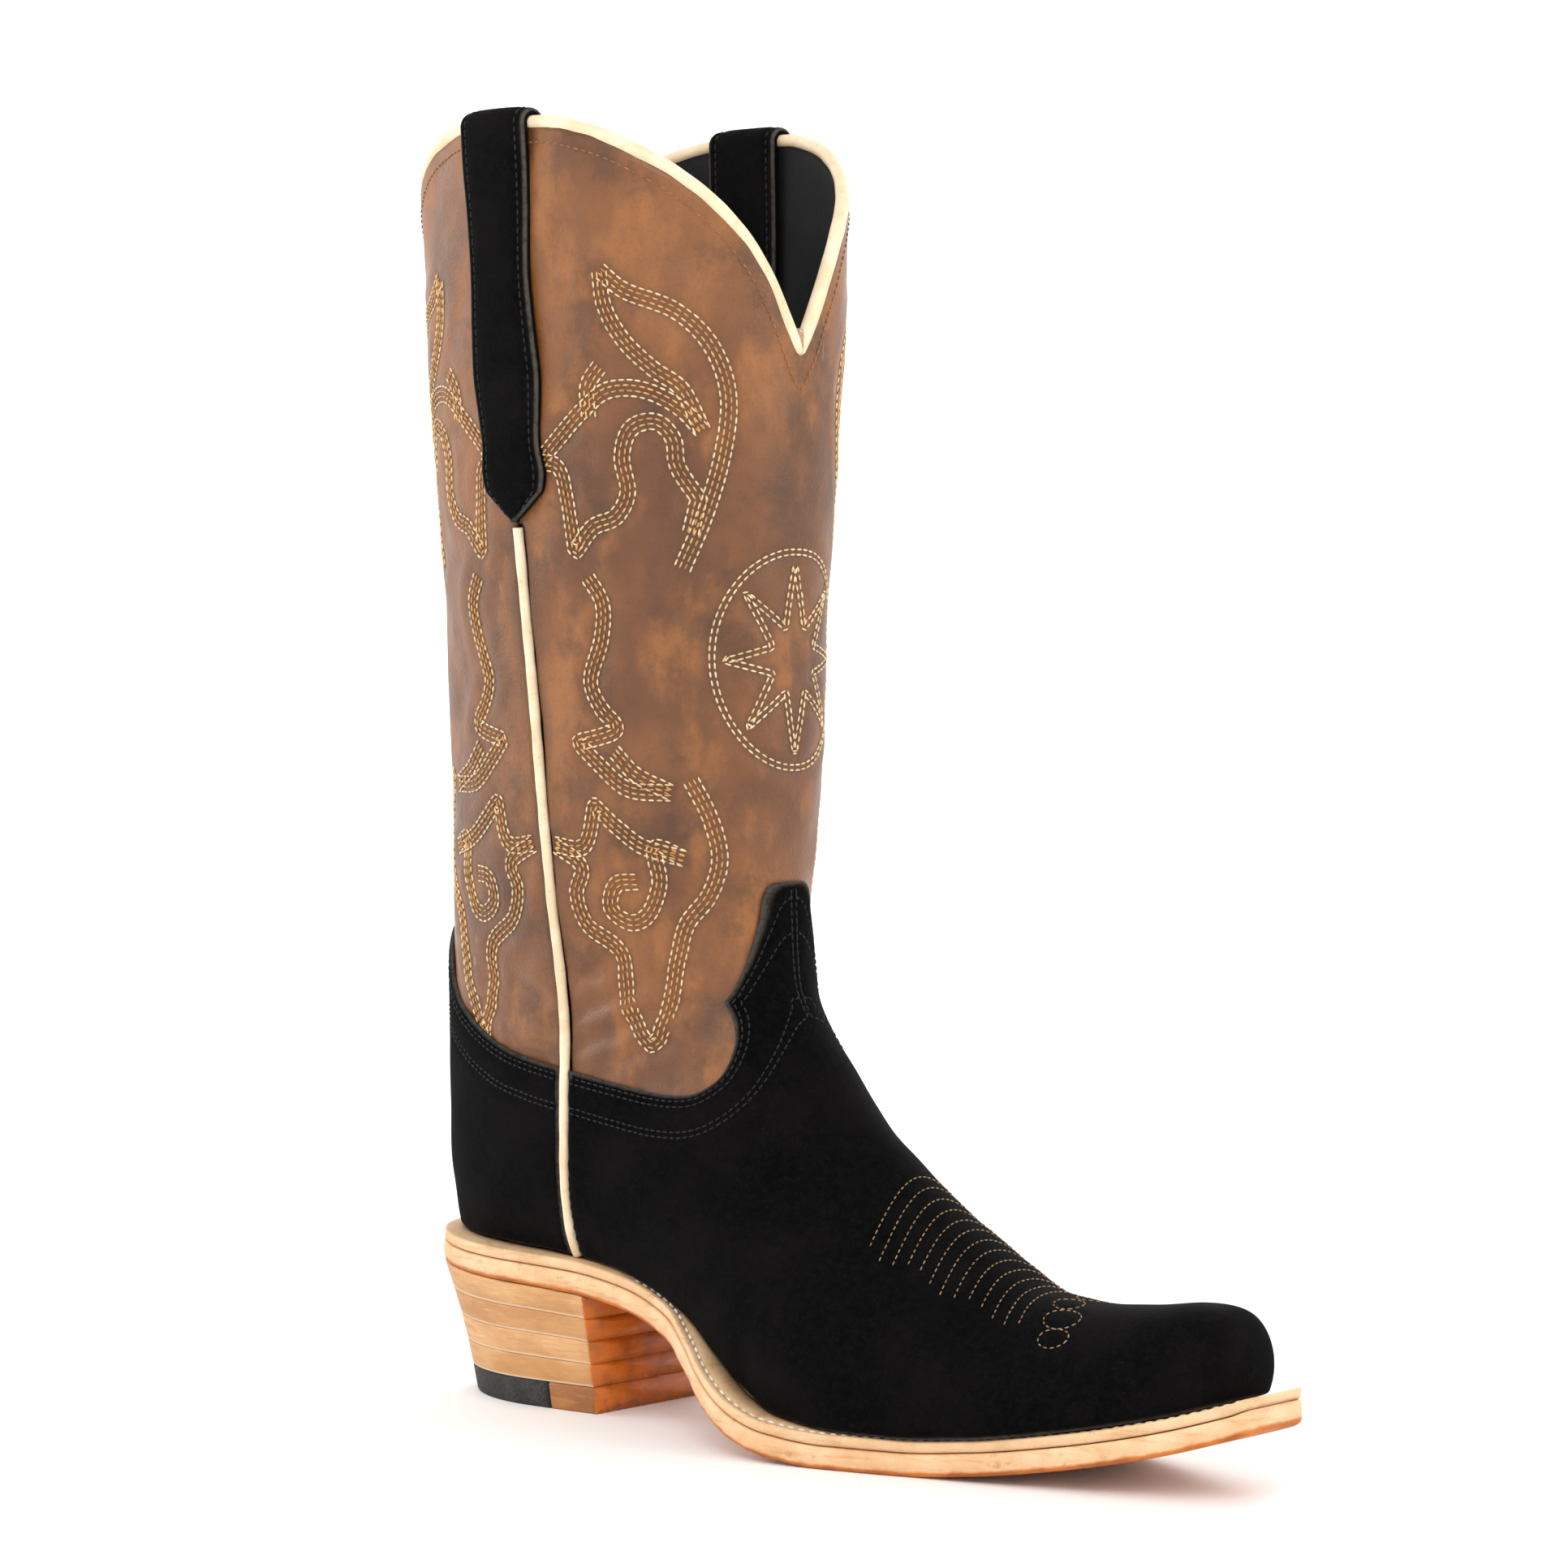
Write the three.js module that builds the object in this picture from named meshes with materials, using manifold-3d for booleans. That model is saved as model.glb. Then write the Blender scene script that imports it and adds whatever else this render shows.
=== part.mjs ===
// Western boot, left foot: every piece of leather, board, rubber and nail as its own closed body.
// Millimetres. +X toe, +Y lateral side, +Z up. Origin: centre of the heel cap's face on the ground.
import * as THREE from "three";
import { mergeVertices } from "three/addons/utils/BufferGeometryUtils.js";
import Module from "manifold-3d";

// ---- driving dimensions ----
const BOOT_LENGTH = 306; // outsole, heel back to toe tip
const SHAFT_HEIGHT = 376; // ground to the centre of the collar bead at the sides
const COLLAR_DIP = 66; // how far the collar drops at the front and back V
const BALL_WIDTH = 104; // outsole at its widest
const HEEL_HEIGHT = 38; // ground to the underside of the outsole at the heel
const UPPER_T = 1.6; // vamp and counter suede
const PANEL_T = 1.5; // shaft leather
const LINING_T = 1.2;
const WELT_T = 3.2;
const OUTSOLE_T = 6.4;
const CAP_T = 8; // rubber heel cap
const STRAP_W = 28;
const STRAP_T = 2.4;
const BEAD_R = 1.55; // side seam piping
const COLLAR_R = 2.1; // collar piping
const TOE_W = 15.5; // half width of the outsole at the cut toe
const GAP = 0.3; // between touching pieces
const TWIST = -5.5; // degrees the shaft turns over the foot by the collar
const LEAN = 8; // how far the collar stands back of plumb

const wasm = await Module();
wasm.setup();

// ---- small helpers ----
const lerp = (a, b, t) => a + (b - a) * t;
const clamp = (v, a, b) => Math.min(b, Math.max(a, v));
const smooth = (a, b, v) => {
  const t = clamp((v - a) / (b - a), 0, 1);
  return t * t * (3 - 2 * t);
};
// Piecewise-linear value of a table [[x, v], ...]
function tab(rows, x) {
  if (x <= rows[0][0]) return rows[0][1];
  for (let i = 1; i < rows.length; i++)
    if (x <= rows[i][0]) {
      const [a, b] = [rows[i - 1], rows[i]];
      return lerp(a[1], b[1], (x - a[0]) / (b[0] - a[0]));
    }
  return rows[rows.length - 1][1];
}
// The same table through a smooth curve (monotone between rows)
function soft(rows, x) {
  const n = rows.length;
  if (x <= rows[0][0]) return rows[0][1];
  if (x >= rows[n - 1][0]) return rows[n - 1][1];
  let i = 1;
  while (x > rows[i][0]) i++;
  const slope = (k) => {
    if (k <= 0 || k >= n - 1) return 0;
    const d0 = (rows[k][1] - rows[k - 1][1]) / (rows[k][0] - rows[k - 1][0]);
    const d1 = (rows[k + 1][1] - rows[k][1]) / (rows[k + 1][0] - rows[k][0]);
    return d0 * d1 <= 0 ? 0 : (2 * d0 * d1) / (d0 + d1);
  };
  const h = rows[i][0] - rows[i - 1][0],
    t = (x - rows[i - 1][0]) / h;
  const [a, b] = [rows[i - 1][1], rows[i][1]];
  const t2 = t * t,
    t3 = t2 * t;
  return (
    (2 * t3 - 3 * t2 + 1) * a +
    (t3 - 2 * t2 + t) * h * slope(i - 1) +
    (-2 * t3 + 3 * t2) * b +
    (t3 - t2) * h * slope(i)
  );
}
function solid(verts, tris) {
  const m = new wasm.Mesh({
    numProp: 3,
    vertProperties: new Float32Array(verts.flat()),
    triVerts: new Uint32Array(tris.flat()),
  });
  const s = new wasm.Manifold(m);
  if (s.volume() < 0) return solid(verts, tris.map(([a, b, c]) => [a, c, b]));
  return s;
}
// A closed body from rings of points, ring(i) for i = 0..n, each with the same number of points.
function ribs(n, ring) {
  const rings = [];
  for (let i = 0; i <= n; i++) rings.push(ring(i / n, i));
  const m = rings[0].length,
    verts = rings.flat(),
    tris = [];
  for (let i = 0; i < n; i++)
    for (let k = 0; k < m; k++) {
      const a = i * m + k,
        b = i * m + ((k + 1) % m);
      tris.push([a, b, b + m], [a, b + m, a + m]);
    }
  for (const [first, flip] of [[0, true], [n * m, false]]) {
    const c = [0, 1, 2].map((j) => verts.slice(first, first + m).reduce((q, p) => q + p[j], 0) / m);
    verts.push(c);
    for (let k = 0; k < m; k++) {
      const t = [first + k, first + ((k + 1) % m), verts.length - 1];
      tris.push(flip ? [t[1], t[0], t[2]] : t);
    }
  }
  return solid(verts, tris);
}
// A three.js geometry as a solid that can be cut
function solidOf(geometry) {
  geometry.deleteAttribute("normal");
  geometry.deleteAttribute("uv");
  const g = mergeVertices(geometry, 1e-4);
  const v = [],
    t = [],
    pos = g.attributes.position,
    idx = g.index.array;
  for (let i = 0; i < pos.count; i++) v.push([pos.getX(i), pos.getY(i), pos.getZ(i)]);
  for (let i = 0; i < idx.length; i += 3) t.push([idx[i], idx[i + 1], idx[i + 2]]);
  return solid(v, t);
}
// A flat shape in the side view (x, z), pushed through the boot along Y.
function plate(points, y0 = -90, y1 = 90) {
  const shape = new THREE.Shape(points.map(([x, z]) => new THREE.Vector2(x, z)));
  const g = new THREE.ExtrudeGeometry(shape, { depth: y1 - y0, bevelEnabled: false, steps: 1 });
  return solidOf(g.rotateX(Math.PI / 2).translate(0, y1, 0));
}
// A line in the side view moved square to itself
const shifted = (line, d) =>
  line.map(([x, z], i) => {
    const p = line[Math.max(i - 1, 0)],
      q = line[Math.min(i + 1, line.length - 1)];
    const l = Math.hypot(q[0] - p[0], q[1] - p[1]);
    return [x - ((q[1] - p[1]) / l) * d, z + ((q[0] - p[0]) / l) * d];
  });
// Overall sizes stretch everything measured from the heel or from the ground.
const LX = (BOOT_LENGTH - 70) / (306 - 70);
const X = (x) => (x > 30 ? 30 + (x - 30) * LX : x);
const unX = (x) => (x > 30 ? 30 + (x - 30) / LX : x);
const LZ = (SHAFT_HEIGHT - 165) / (376 - 165);
const Z = (z) => (z > 165 ? 165 + (z - 165) * LZ : z);
const WB = BALL_WIDTH / 104;
const HZ = HEEL_HEIGHT - 38; // the heel seat and all above it rise by this

// ---- the ground line of the boot ----
const wide = (x) => lerp(1, WB, smooth(50, 110, unX(x)));
// Height of the welt's top face along the boot
const FEATHER = [
  [-44, 49.5], [-20, 48.2], [0, 47.4], [32, 46], [50, 43.6], [70, 38.2], [89, 29], [102, 21.3], [114, 15],
  [126, 11.6], [145, 9.8], [165, 9.8], [187, 11.5], [213, 15.4], [240, 21.2], [262, 27.8], [268, 30],
];
const lift = (x) => HZ * (1 - smooth(40, 118, unX(x)));
const feather = (x) => soft(FEATHER, unX(x)) + lift(x);
const weltLow = (x) => feather(x) - WELT_T;
const soleTop = (x) => weltLow(x) - GAP;
const soleLow = (x) => Math.max(soleTop(x) - OUTSOLE_T * soft([[-44, 0.9], [60, 1], [300, 1]], x), 0);
// Centre line and half width of the sole, seen from above
const CENTRE = [[-40, 0], [40, 0], [90, -1.8], [130, -2.6], [200, -4], [262, -6], [268, -6.2]];
const centre = (x) => soft(CENTRE, unX(x));
const HALF = [
  [-40, 5], [-38.6, 12.5], [-35, 20], [-30, 25.5], [-22, 30], [-10, 33.4], [6, 34.6], [22, 34], [40, 32.8],
  [56, 32.4], [72, 34.5], [86, 41], [98, 47.8], [108, 51.2], [118, 52], [132, 50.2], [150, 45.8],
  [170, 40.2], [195, 34], [220, 27.8], [240, 22.4], [256, 17.6], [263, TOE_W], [265, TOE_W - 1.2],
  [266, TOE_W - 3.4],
];
const half = (x) => tab(HALF, unX(x)) * wide(x);

// ---- the last: outer face of the upper, as fanned sections from the toe up to the collar ----
// front or top point (x, z), back or bottom point (x, z), half width, low set, boxiness
const LAST = [
  [257.6, 38.5, 257.6, 30, 3, 0, 0.8], [257.0, 43.5, 257, 26, 10, 0.05, 0.8],
  [254.6, 48.6, 254.6, 22, 15.2, 0.1, 0.75], [250, 50.8, 250, 17, 17.6, 0.12, 0.75],
  [240, 50.6, 240, 12, 20.6, 0.16, 0.76], [222, 48.2, 224, 4, 26, 0.2, 0.8],
  [203, 47.2, 207, -2, 31.6, 0.24, 0.84], [185, 49.4, 188, -6, 37.2, 0.28, 0.88],
  [168, 58.6, 166, -8, 42.6, 0.34, 0.92], [151, 69.2, 146, -9, 46.6, 0.4, 0.96],
  [135, 81.2, 122, -6, 47.6, 0.42, 0.98], [121, 93.4, 98, 6, 43.6, 0.4, 0.98],
  [109, 107.3, 72, 21, 38.6, 0.3, 0.96], [100, 117.6, 40, 30, 36, 0.18, 0.94],
  [95, 126, 4, 33, 34.6, 0.08, 0.92], [93.6, 135.5, -28, 38, 34, 0, 0.9],
  [93.2, 144.5, -37.2, 60, 34, -0.04, 0.9], [93.1, 153, -38.6, 84, 34.4, -0.06, 0.9],
  [92.7, 162, -36.9, 109, 35.2, -0.06, 0.9], [93.5, 173, -34.8, 135, 36.8, -0.04, 0.9],
  [95.5, 191, -33.6, 163, 38.8, -0.02, 0.9], [98, 224, -33.2, 205, 41.2, 0, 0.9],
  [101, 258, -34.5, 250, 44, 0, 0.9], [104.3, 290, -36.2, 290, 47, 0, 0.9],
  [107.2, 320, -36.7, 320, 49.5, 0, 0.9], [108.4, 350, -36.2, 350, 51, 0, 0.9],
  [109.2, 385, -35.6, 385, 52, 0, 0.9], [109.8, 410, -35.2, 410, 52.5, 0, 0.9],
];
const LEVELS = LAST.length - 1;
function station(s) {
  const i = clamp(Math.floor(s), 0, LEVELS - 1),
    t = s - i;
  const p = [i - 1, i, i + 1, i + 2].map((k) => LAST[clamp(k, 0, LEVELS)]);
  return LAST[0].map((_, j) => {
    const [a, b, c, d] = p.map((r) => r[j]);
    return b + 0.5 * t * (c - a + t * (2 * a - 5 * b + 4 * c - d + t * (3 * (b - c) + d - a)));
  });
}
// Base point on the last, before thickness. phi 0 = top or front, pi/2 = lateral side.
function base(s, phi) {
  const [tx, tz, bx, bz, w, low, box] = station(s);
  const c = Math.cos(phi),
    k = Math.abs(Math.sin(phi));
  const u = (1 - c) / 2,
    side = (Math.pow(k, box) * (1 - low * c)) / (1 + low * low * 0.62);
  const x = lerp(tx, bx, u),
    z = lerp(tz, bz, u);
  const xx = X(x);
  return [xx, Math.sign(Math.sin(phi)) * w * wide(xx) * side, Z(z) + lift(xx)];
}
// Leather stands in from the drawn outline by its own thickness where the suede lies over it.
const inset = (s) => (UPPER_T + GAP) * (1 - smooth(16.5, 19, s));
function skin(s, phi, off) {
  const e = 0.02,
    f = 0.03;
  const p = base(s, phi),
    a = base(Math.min(s + e, LEVELS), phi),
    b = base(Math.max(s - e, 0), phi);
  const c = base(s, phi + f),
    d = base(s, phi - f);
  const u = [a[0] - b[0], a[1] - b[1], a[2] - b[2]],
    v = [c[0] - d[0], c[1] - d[1], c[2] - d[2]];
  const n = [u[1] * v[2] - u[2] * v[1], u[2] * v[0] - u[0] * v[2], u[0] * v[1] - u[1] * v[0]];
  const l = -(off - inset(s)) / Math.hypot(...n);
  return [p[0] + n[0] * l, p[1] + n[1] * l, p[2] + n[2] * l];
}
// Height of the collar bead's centre, by angle round the shaft
const DOME = [[-11, 1.31], [0, 1], [11, 0.69], [20, 0.5], [31, 0.34], [45, 0.19], [64, 0.05], [77, 0.005], [90, 0]];
function collar(phi) {
  let d = Math.abs((((phi * 180) / Math.PI + 180) % 360) - 180);
  if (d > 90) d = 180 - d;
  return SHAFT_HEIGHT + HZ - COLLAR_DIP * soft(DOME, d);
}
// Station whose surface stands at height z for this angle
function levelAt(z, phi) {
  let a = 15,
    b = LEVELS;
  for (let i = 0; i < 26; i++) {
    const m = (a + b) / 2;
    if (base(m, phi)[2] < z) a = m;
    else b = m;
  }
  return (a + b) / 2;
}
// How far below the bead's centre the leather stops, measured square to the collar line
function rimDrop(phi, gap) {
  const toSide = Math.sin(2 * phi) >= 0 ? 0.05 : -0.05;
  const at = (a) => base(levelAt(collar(a), a), a);
  const p = at(phi),
    q = at(phi + (Math.abs(Math.cos(phi)) < 1e-6 ? 0 : toSide));
  const run = Math.hypot(q[0] - p[0], q[1] - p[1]),
    slope = run > 0 ? (q[2] - p[2]) / run : 0;
  return gap * Math.hypot(1, slope);
}
const ROWS = [0, 0.8, 1.6, 2.5, 3.5, 5, 6.3, 7.6, 9, 10, 11, 12, 13, 14, 15, 16, 17, 18, 19.5, 22];
const TOP_ROWS = 4;
const AROUND = 24;
// The whole last as one solid, grown by `off`, its rim `up` above the collar line.
function lastSolid(off, up) {
  return ribs(ROWS.length - 1 + TOP_ROWS, (t, i) => {
    const ring = [];
    for (let k = 0; k < AROUND; k++) {
      const phi = (2 * Math.PI * k) / AROUND;
      let s = ROWS[i];
      if (i >= ROWS.length)
        s = lerp(22, levelAt(collar(phi) + up - rimDrop(phi, COLLAR_R + 0.75), phi),
          (i - ROWS.length + 1) / TOP_ROWS);
      ring.push(skin(s, phi, off));
    }
    return ring;
  });
}
const shell = (outer, inner, up) => lastSolid(outer, up).subtract(lastSolid(inner, up + 12));

// ---- cut lines in the side view ----
const smoothLine = (pts, n) =>
  new THREE.CatmullRomCurve3(pts.map(([x, z]) => new THREE.Vector3(x, 0, z)), false, "centripetal")
    .getPoints(n)
    .map((p) => [X(p.x), Z(p.z) + lift(X(p.x))]);
// Vamp edge: side seam, dip, rise to the notch, then the tongue
const vampEdge = (drop) => [
  ...smoothLine([[31.5, 102], [50.7, 99.2], [66, 97.4], [77, 97.6], [83.2, 100.2], [87, 104.6], [88, 111.4],
    [86.6, 118], [83.6, 124]], 16),
  ...smoothLine([[85.2, 126.4], [87.8, 134], [89.9, 144], [91.6, 155], [93.4, 158.6]], 7),
].map(([x, z]) => [x, z - drop]);
const counterEdge = (drop) =>
  smoothLine([[31.5, 102], [14.9, 104.5], [1.9, 107.7], [-11, 113.5], [-19.6, 119.6], [-25, 125.5],
    [-29.9, 135], [-33.6, 141], [-38, 143.5]], 14).map(([x, z]) => [x, z - drop]);
const SEAM = 31.5; // x of the side seam
const SEAM_TOP = 261; // the bead ends here, under the pull strap's point
const seamGap = BEAD_R + 0.35;

// Solid above the welt line
const soleLine = (rise) => {
  const pts = [];
  for (let x = -60; x <= 300; x += 6) pts.push([x, feather(clamp(x, -44, X(268))) + rise]);
  return pts;
};
const above = (rise) => plate([...soleLine(rise), [300, 460], [-60, 460]]);
const ahead = (x, xTop) => {
  const zt = Z(SEAM_TOP) + HZ;
  return plate([[x, -40], [x, zt], [xTop, zt + 0.01], [xTop, 460], [400, 460], [400, -40]]);
};
const behind = (x, xTop) => {
  const zt = Z(SEAM_TOP) + HZ;
  return plate([[x, -40], [x, zt], [xTop, zt + 0.01], [xTop, 460], [-90, 460], [-90, -40]]);
};
function underVamp(drop, shy = 0) {
  const line = shifted(vampEdge(drop), -shy);
  return plate([[SEAM, line[0][1]], ...line.slice(1), [400, line.at(-1)[1]], [400, -60], [SEAM, -60]]);
}
function underCounter(drop, shy = 0) {
  const line = shifted(counterEdge(drop), shy);
  return plate([[SEAM, line[0][1]], ...line.slice(1), [-90, line.at(-1)[1]], [-90, -60], [SEAM, -60]]);
}

// ---- the boot's bend: foot curve and the shaft's turn over the foot ----
function bend([x, y, z]) {
  const up = z - lift(x);
  y += centre(x) * (1 - smooth(90, 150, up));
  const a = ((TWIST * Math.PI) / 180) * smooth(100, 330, up);
  const dx = x - 36,
    back = LEAN * Math.pow(clamp((up - 110) / 266, 0, 1), 1.2);
  return [36 - back + dx * Math.cos(a) - y * Math.sin(a), dx * Math.sin(a) + y * Math.cos(a), z];
}
// y of the unbent last at a side view point, for side +1 or -1
function sideY(x, z, side, off) {
  let best = null;
  let [s, phi] = [20, Math.PI / 2];
  for (let i = 0; i < 60; i++) {
    const p = skin(s, phi, off),
      ps = skin(s + 0.01, phi, off),
      pf = skin(s, phi + 0.01, off);
    const [a, b, c, d] = [ps[0] - p[0], pf[0] - p[0], ps[2] - p[2], pf[2] - p[2]].map((v) => v / 0.01);
    const [ex, ez] = [x - p[0], z - p[2]];
    const det = a * d - b * c;
    s = clamp(s + clamp((ex * d - ez * b) / det, -1.5, 1.5), 0.5, LEVELS - 0.1);
    phi = clamp(phi + clamp((a * ez - c * ex) / det, -0.3, 0.3), 0.05, Math.PI - 0.05);
    best = p[1];
    if (Math.hypot(ex, ez) < 1e-4) break;
  }
  return best * side;
}
// A round bar along a list of points
function tube(path, r, m, up) {
  return ribs(path.length - 1, (t, i) => {
    const p = new THREE.Vector3(...path[i]);
    const a = new THREE.Vector3(...path[Math.max(i - 1, 0)]),
      b = new THREE.Vector3(...path[Math.min(i + 1, path.length - 1)]);
    const d = b.sub(a).normalize();
    const u = new THREE.Vector3(...up).cross(d).normalize(),
      v = d.clone().cross(u);
    const out = [];
    for (let k = 0; k < m; k++) {
      const q = (2 * Math.PI * k) / m;
      out.push(
        p.clone().addScaledVector(u, r * Math.cos(q)).addScaledVector(v, r * Math.sin(q)).toArray(),
      );
    }
    return out;
  });
}

// ---- assembly ----
const boot = new THREE.Group();
boot.name = "cowboy_boot";
function add(name, s, color, roughness) {
  const g = new THREE.BufferGeometry(),
    m = s.getMesh();
  const v = new Float32Array(m.numVert * 3);
  for (let i = 0; i < m.numVert; i++)
    v.set(bend(m.vertProperties.subarray(i * m.numProp, i * m.numProp + 3)), i * 3);
  g.setAttribute("position", new THREE.BufferAttribute(v, 3));
  g.setIndex(new THREE.BufferAttribute(m.triVerts, 1));
  g.computeVertexNormals();
  const mesh = new THREE.Mesh(g, new THREE.MeshStandardMaterial({ color, roughness, name }));
  mesh.name = name;
  boot.add(mesh);
}
// Largest body of a cut, without crumbs
const main = (s) => s.decompose().sort((a, b) => b.volume() - a.volume())[0];

// ---- sole: flat-topped slabs that follow the feather line ----
const XS = [
  -40, -39.5, -38.6, -37, -35, -30, -22, -10, 6, 22, 40, 50, 60, 70, 78, 86, 92, 98, 103, 108, 113, 118,
  125, 132, 141, 150, 160, 170, 182, 195, 207, 220, 230, 240, 248, 256, 263, 265, 266,
];
// A slab between two heights; `shy` pulls its outline in, `bevel` softens its lower edge.
function slab(lo, hi, shy, bevel, xs = XS) {
  const x0 = xs[0] + shy,
    x1 = xs.at(-1) - shy;
  return ribs(xs.length - 1, (t, i) => {
    const xr = clamp(xs[i], x0, x1),
      x = X(xr);
    const rim = lerp(x0, x1, (xs[i] - xs[0]) / (xs.at(-1) - xs[0]));
    const px = X(shy > 0 ? rim : xs[i]),
      h = Math.max(half(X(xs[i])) - shy, 1.5);
    const [a, b] = [lo(px), hi(px)];
    return [
      [px, -h + bevel, a], [px, -h, a + bevel], [px, -h, b], [px, h, b], [px, h, a + bevel],
      [px, h - bevel, a],
    ];
  });
}
const sole = () => slab(soleLow, soleTop, 0, 1.6);
const weltBlank = () => slab(weltLow, feather, 0.8, 0.3);
const weltHole = (shy) => slab((x) => weltLow(x) - 1, (x) => feather(x) + 1, 12 + shy, 0.1);
const welt = () => weltBlank().subtract(weltHole(0));
const shankStrip = (grow) =>
  ribs(12, (t) => {
    const x = X(lerp(8 - grow, 108 + grow, t)),
      h = 6 + grow;
    return [[x, -h, feather(x) - 1.9 - grow], [x, -h, feather(x) - 0.3 + grow * 4],
      [x, h, feather(x) - 0.3 + grow * 4], [x, h, feather(x) - 1.9 - grow]];
  });
const filler = () =>
  slab((x) => weltLow(x), (x) => feather(x), 12 + GAP, 0.1).subtract(shankStrip(GAP));
// Boards inside the upper, standing on the welt and filler
const board = (lo, hi) =>
  lastSolid(-PANEL_T - GAP - LINING_T - GAP, 0)
    .intersect(above(lo))
    .subtract(above(hi));

// ---- heel: stacked lifts that narrow to the rubber cap ----
const BREAST = 37; // x of the heel's front face
const HXS = [-40, -39.5, -38.4, -36.4, -33.4, -29, -22, -10, 6, 22, BREAST];
const heelBack = (f) => lerp(-28.6, -40, f);
const heelShrink = (f) => lerp(0.775, 1, f);
function heelSlice(zLo, zHi, from = 0, to = 1) {
  return ribs(HXS.length - 1, (t, i) => {
    const u = (HXS[i] - HXS[0]) / (BREAST - HXS[0]);
    const corner = (level) => {
      const xTop = lerp(-40, BREAST + 1, u),
        z = level(xTop);
      const f = z / (HEEL_HEIGHT + 2.4);
      const x = lerp(heelBack(f), lerp(BREAST, BREAST + 1, f), u);
      return [x, half(HXS[i]) * heelShrink(f), z];
    };
    const [a, b] = [corner(zLo), corner(zHi)];
    return [[a[0], -a[1], a[2]], [b[0], -b[1], b[2]], [b[0], b[1], b[2]], [a[0], a[1], a[2]]];
  });
}
const LIFTS = 4;
const liftFace = (k) => (x) => lerp(CAP_T + GAP / 2, soleLow(x) - GAP / 2, k / LIFTS);
const NAILS = [[-22, 0], [-12, 17], [-12, -17], [20, 19], [20, -19]];
const nail = (r, [x, y], lo, hi) =>
  solidOf(
    new THREE.CylinderGeometry(r, r, hi - lo, 8).rotateX(Math.PI / 2).translate(x, y, (lo + hi) / 2),
  );
function heelLift(k) {
  let s = heelSlice((x) => liftFace(k)(x) + GAP / 2, (x) => liftFace(k + 1)(x) - GAP / 2);
  for (const p of NAILS) s = s.subtract(nail(1.5, p, 0, 60));
  return s;
}
const capSplit = 20;
const cap = () => heelSlice(() => 0, () => CAP_T);

// ---- piping and pull straps ----
const seamTopZ = Z(SEAM_TOP) + HZ;
function seamBead(side) {
  const path = [],
    z0 = feather(SEAM) + 0.4;
  for (let i = 0; i <= 22; i++) {
    const z = lerp(z0, seamTopZ - 1.2, i / 22);
    path.push([SEAM, sideY(SEAM, z, side, lerp(0.7, 0.1, smooth(92, 116, z - HZ))), z]);
  }
  return tube(path, BEAD_R, 8, [1, 0, 0]);
}
function collarBead(side) {
  const path = [];
  for (let i = 0; i <= 32; i++) {
    const phi = (lerp(-7, 187, i / 32) * Math.PI) / 180;
    const p = skin(levelAt(collar(phi), phi), phi, -PANEL_T / 2 - GAP - LINING_T / 2);
    path.push([p[0], p[1] * side, p[2]]);
  }
  const half = plate([[-200, -50], [-200, 600], [300, 600], [300, -50]],
    side > 0 ? 0.15 : -200, side > 0 ? 200 : -0.15);
  return main(tube(path, COLLAR_R, 8, [0, 0, 1]).intersect(half));
}
const STRAP_HALF = [
  [261.5, 0.5], [264, 3.6], [268, 8.8], [272, 12.8], [276, 13.4], [284, 12.2], [294, 13.4], [304, 14.2],
  [316, 13.4], [334, 12.5], [352, 13.3], [366, 14],
];
function strap(side) {
  const outerLow = 261.5,
    crown = SHAFT_HEIGHT + HZ,
    k = STRAP_W / 28;
  const rows = [];
  const zs = [261.5, 264, 268, 272, 276, 284, 294, 304, 316, 325, 334, 343, 352, 362, 370];
  for (const z of zs) rows.push({ z: Z(z) + HZ, h: tab(STRAP_HALF, z) * k, xc: lerp(32, 35.5, (z - outerLow) / 90) });
  for (let i = 0; i <= 8; i++) rows.push({ arc: (Math.PI * i) / 8, h: 14 * k, xc: 35.5 });
  for (const d of [6, 16, 26, 36, 44, 48, 50])
    rows.push({ z: crown - d, h: 14 * k * (d < 44 ? 1 : d < 48 ? 0.96 : d < 50 ? 0.85 : 0.68), xc: 35.5, inside: true });
  const inner = COLLAR_R + 0.4;
  const mid = -PANEL_T / 2 - GAP - LINING_T / 2;
  const pt = (r, x, t) => {
    if (r.arc !== undefined) {
      const phi = Math.acos(clamp((36 - x) / 72, -1, 1));
      const zc = collar(phi),
        yc = sideY(x, zc, 1, mid),
        q = inner + t;
      return [x, yc + q * Math.cos(r.arc), zc + q * Math.sin(r.arc)];
    }
    const near = smooth(30, 4, crown - r.z);
    const off = r.inside
      ? lerp(-PANEL_T - LINING_T - 2 * GAP - 0.3, mid - inner, near) - t
      : lerp(GAP + 0.2, mid + inner, near) + t;
    return [x, sideY(x, r.z, 1, off), r.z];
  };
  return ribs(rows.length - 1, (t, i) => {
    const r = rows[i],
      js = [-1, -0.6, -0.2, 0.2, 0.6, 1];
    return [
      ...js.map((j) => pt(r, r.xc + j * r.h, 0)),
      ...[...js].reverse().map((j) => pt(r, r.xc + j * r.h, STRAP_T)),
    ].map(([x, y, z]) => [x, y * side, z]);
  });
}

// ---- put it together ----
const outerShell = shell(UPPER_T + GAP, GAP, 0).intersect(above(GAP));
const midShell = shell(0, -PANEL_T, 0).intersect(above(GAP));
const liningShell = shell(-PANEL_T - GAP, -PANEL_T - GAP - LINING_T, 0).intersect(above(GAP));
const front = ahead(SEAM + seamGap, SEAM + 0.15),
  back = behind(SEAM - seamGap, SEAM - 0.15);
const LAP = 12; // the shaft runs this far under the vamp and counter
const puffX = X(202);
const put = (name, s, color, roughness) => add(name, main(s), color, roughness);

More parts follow.
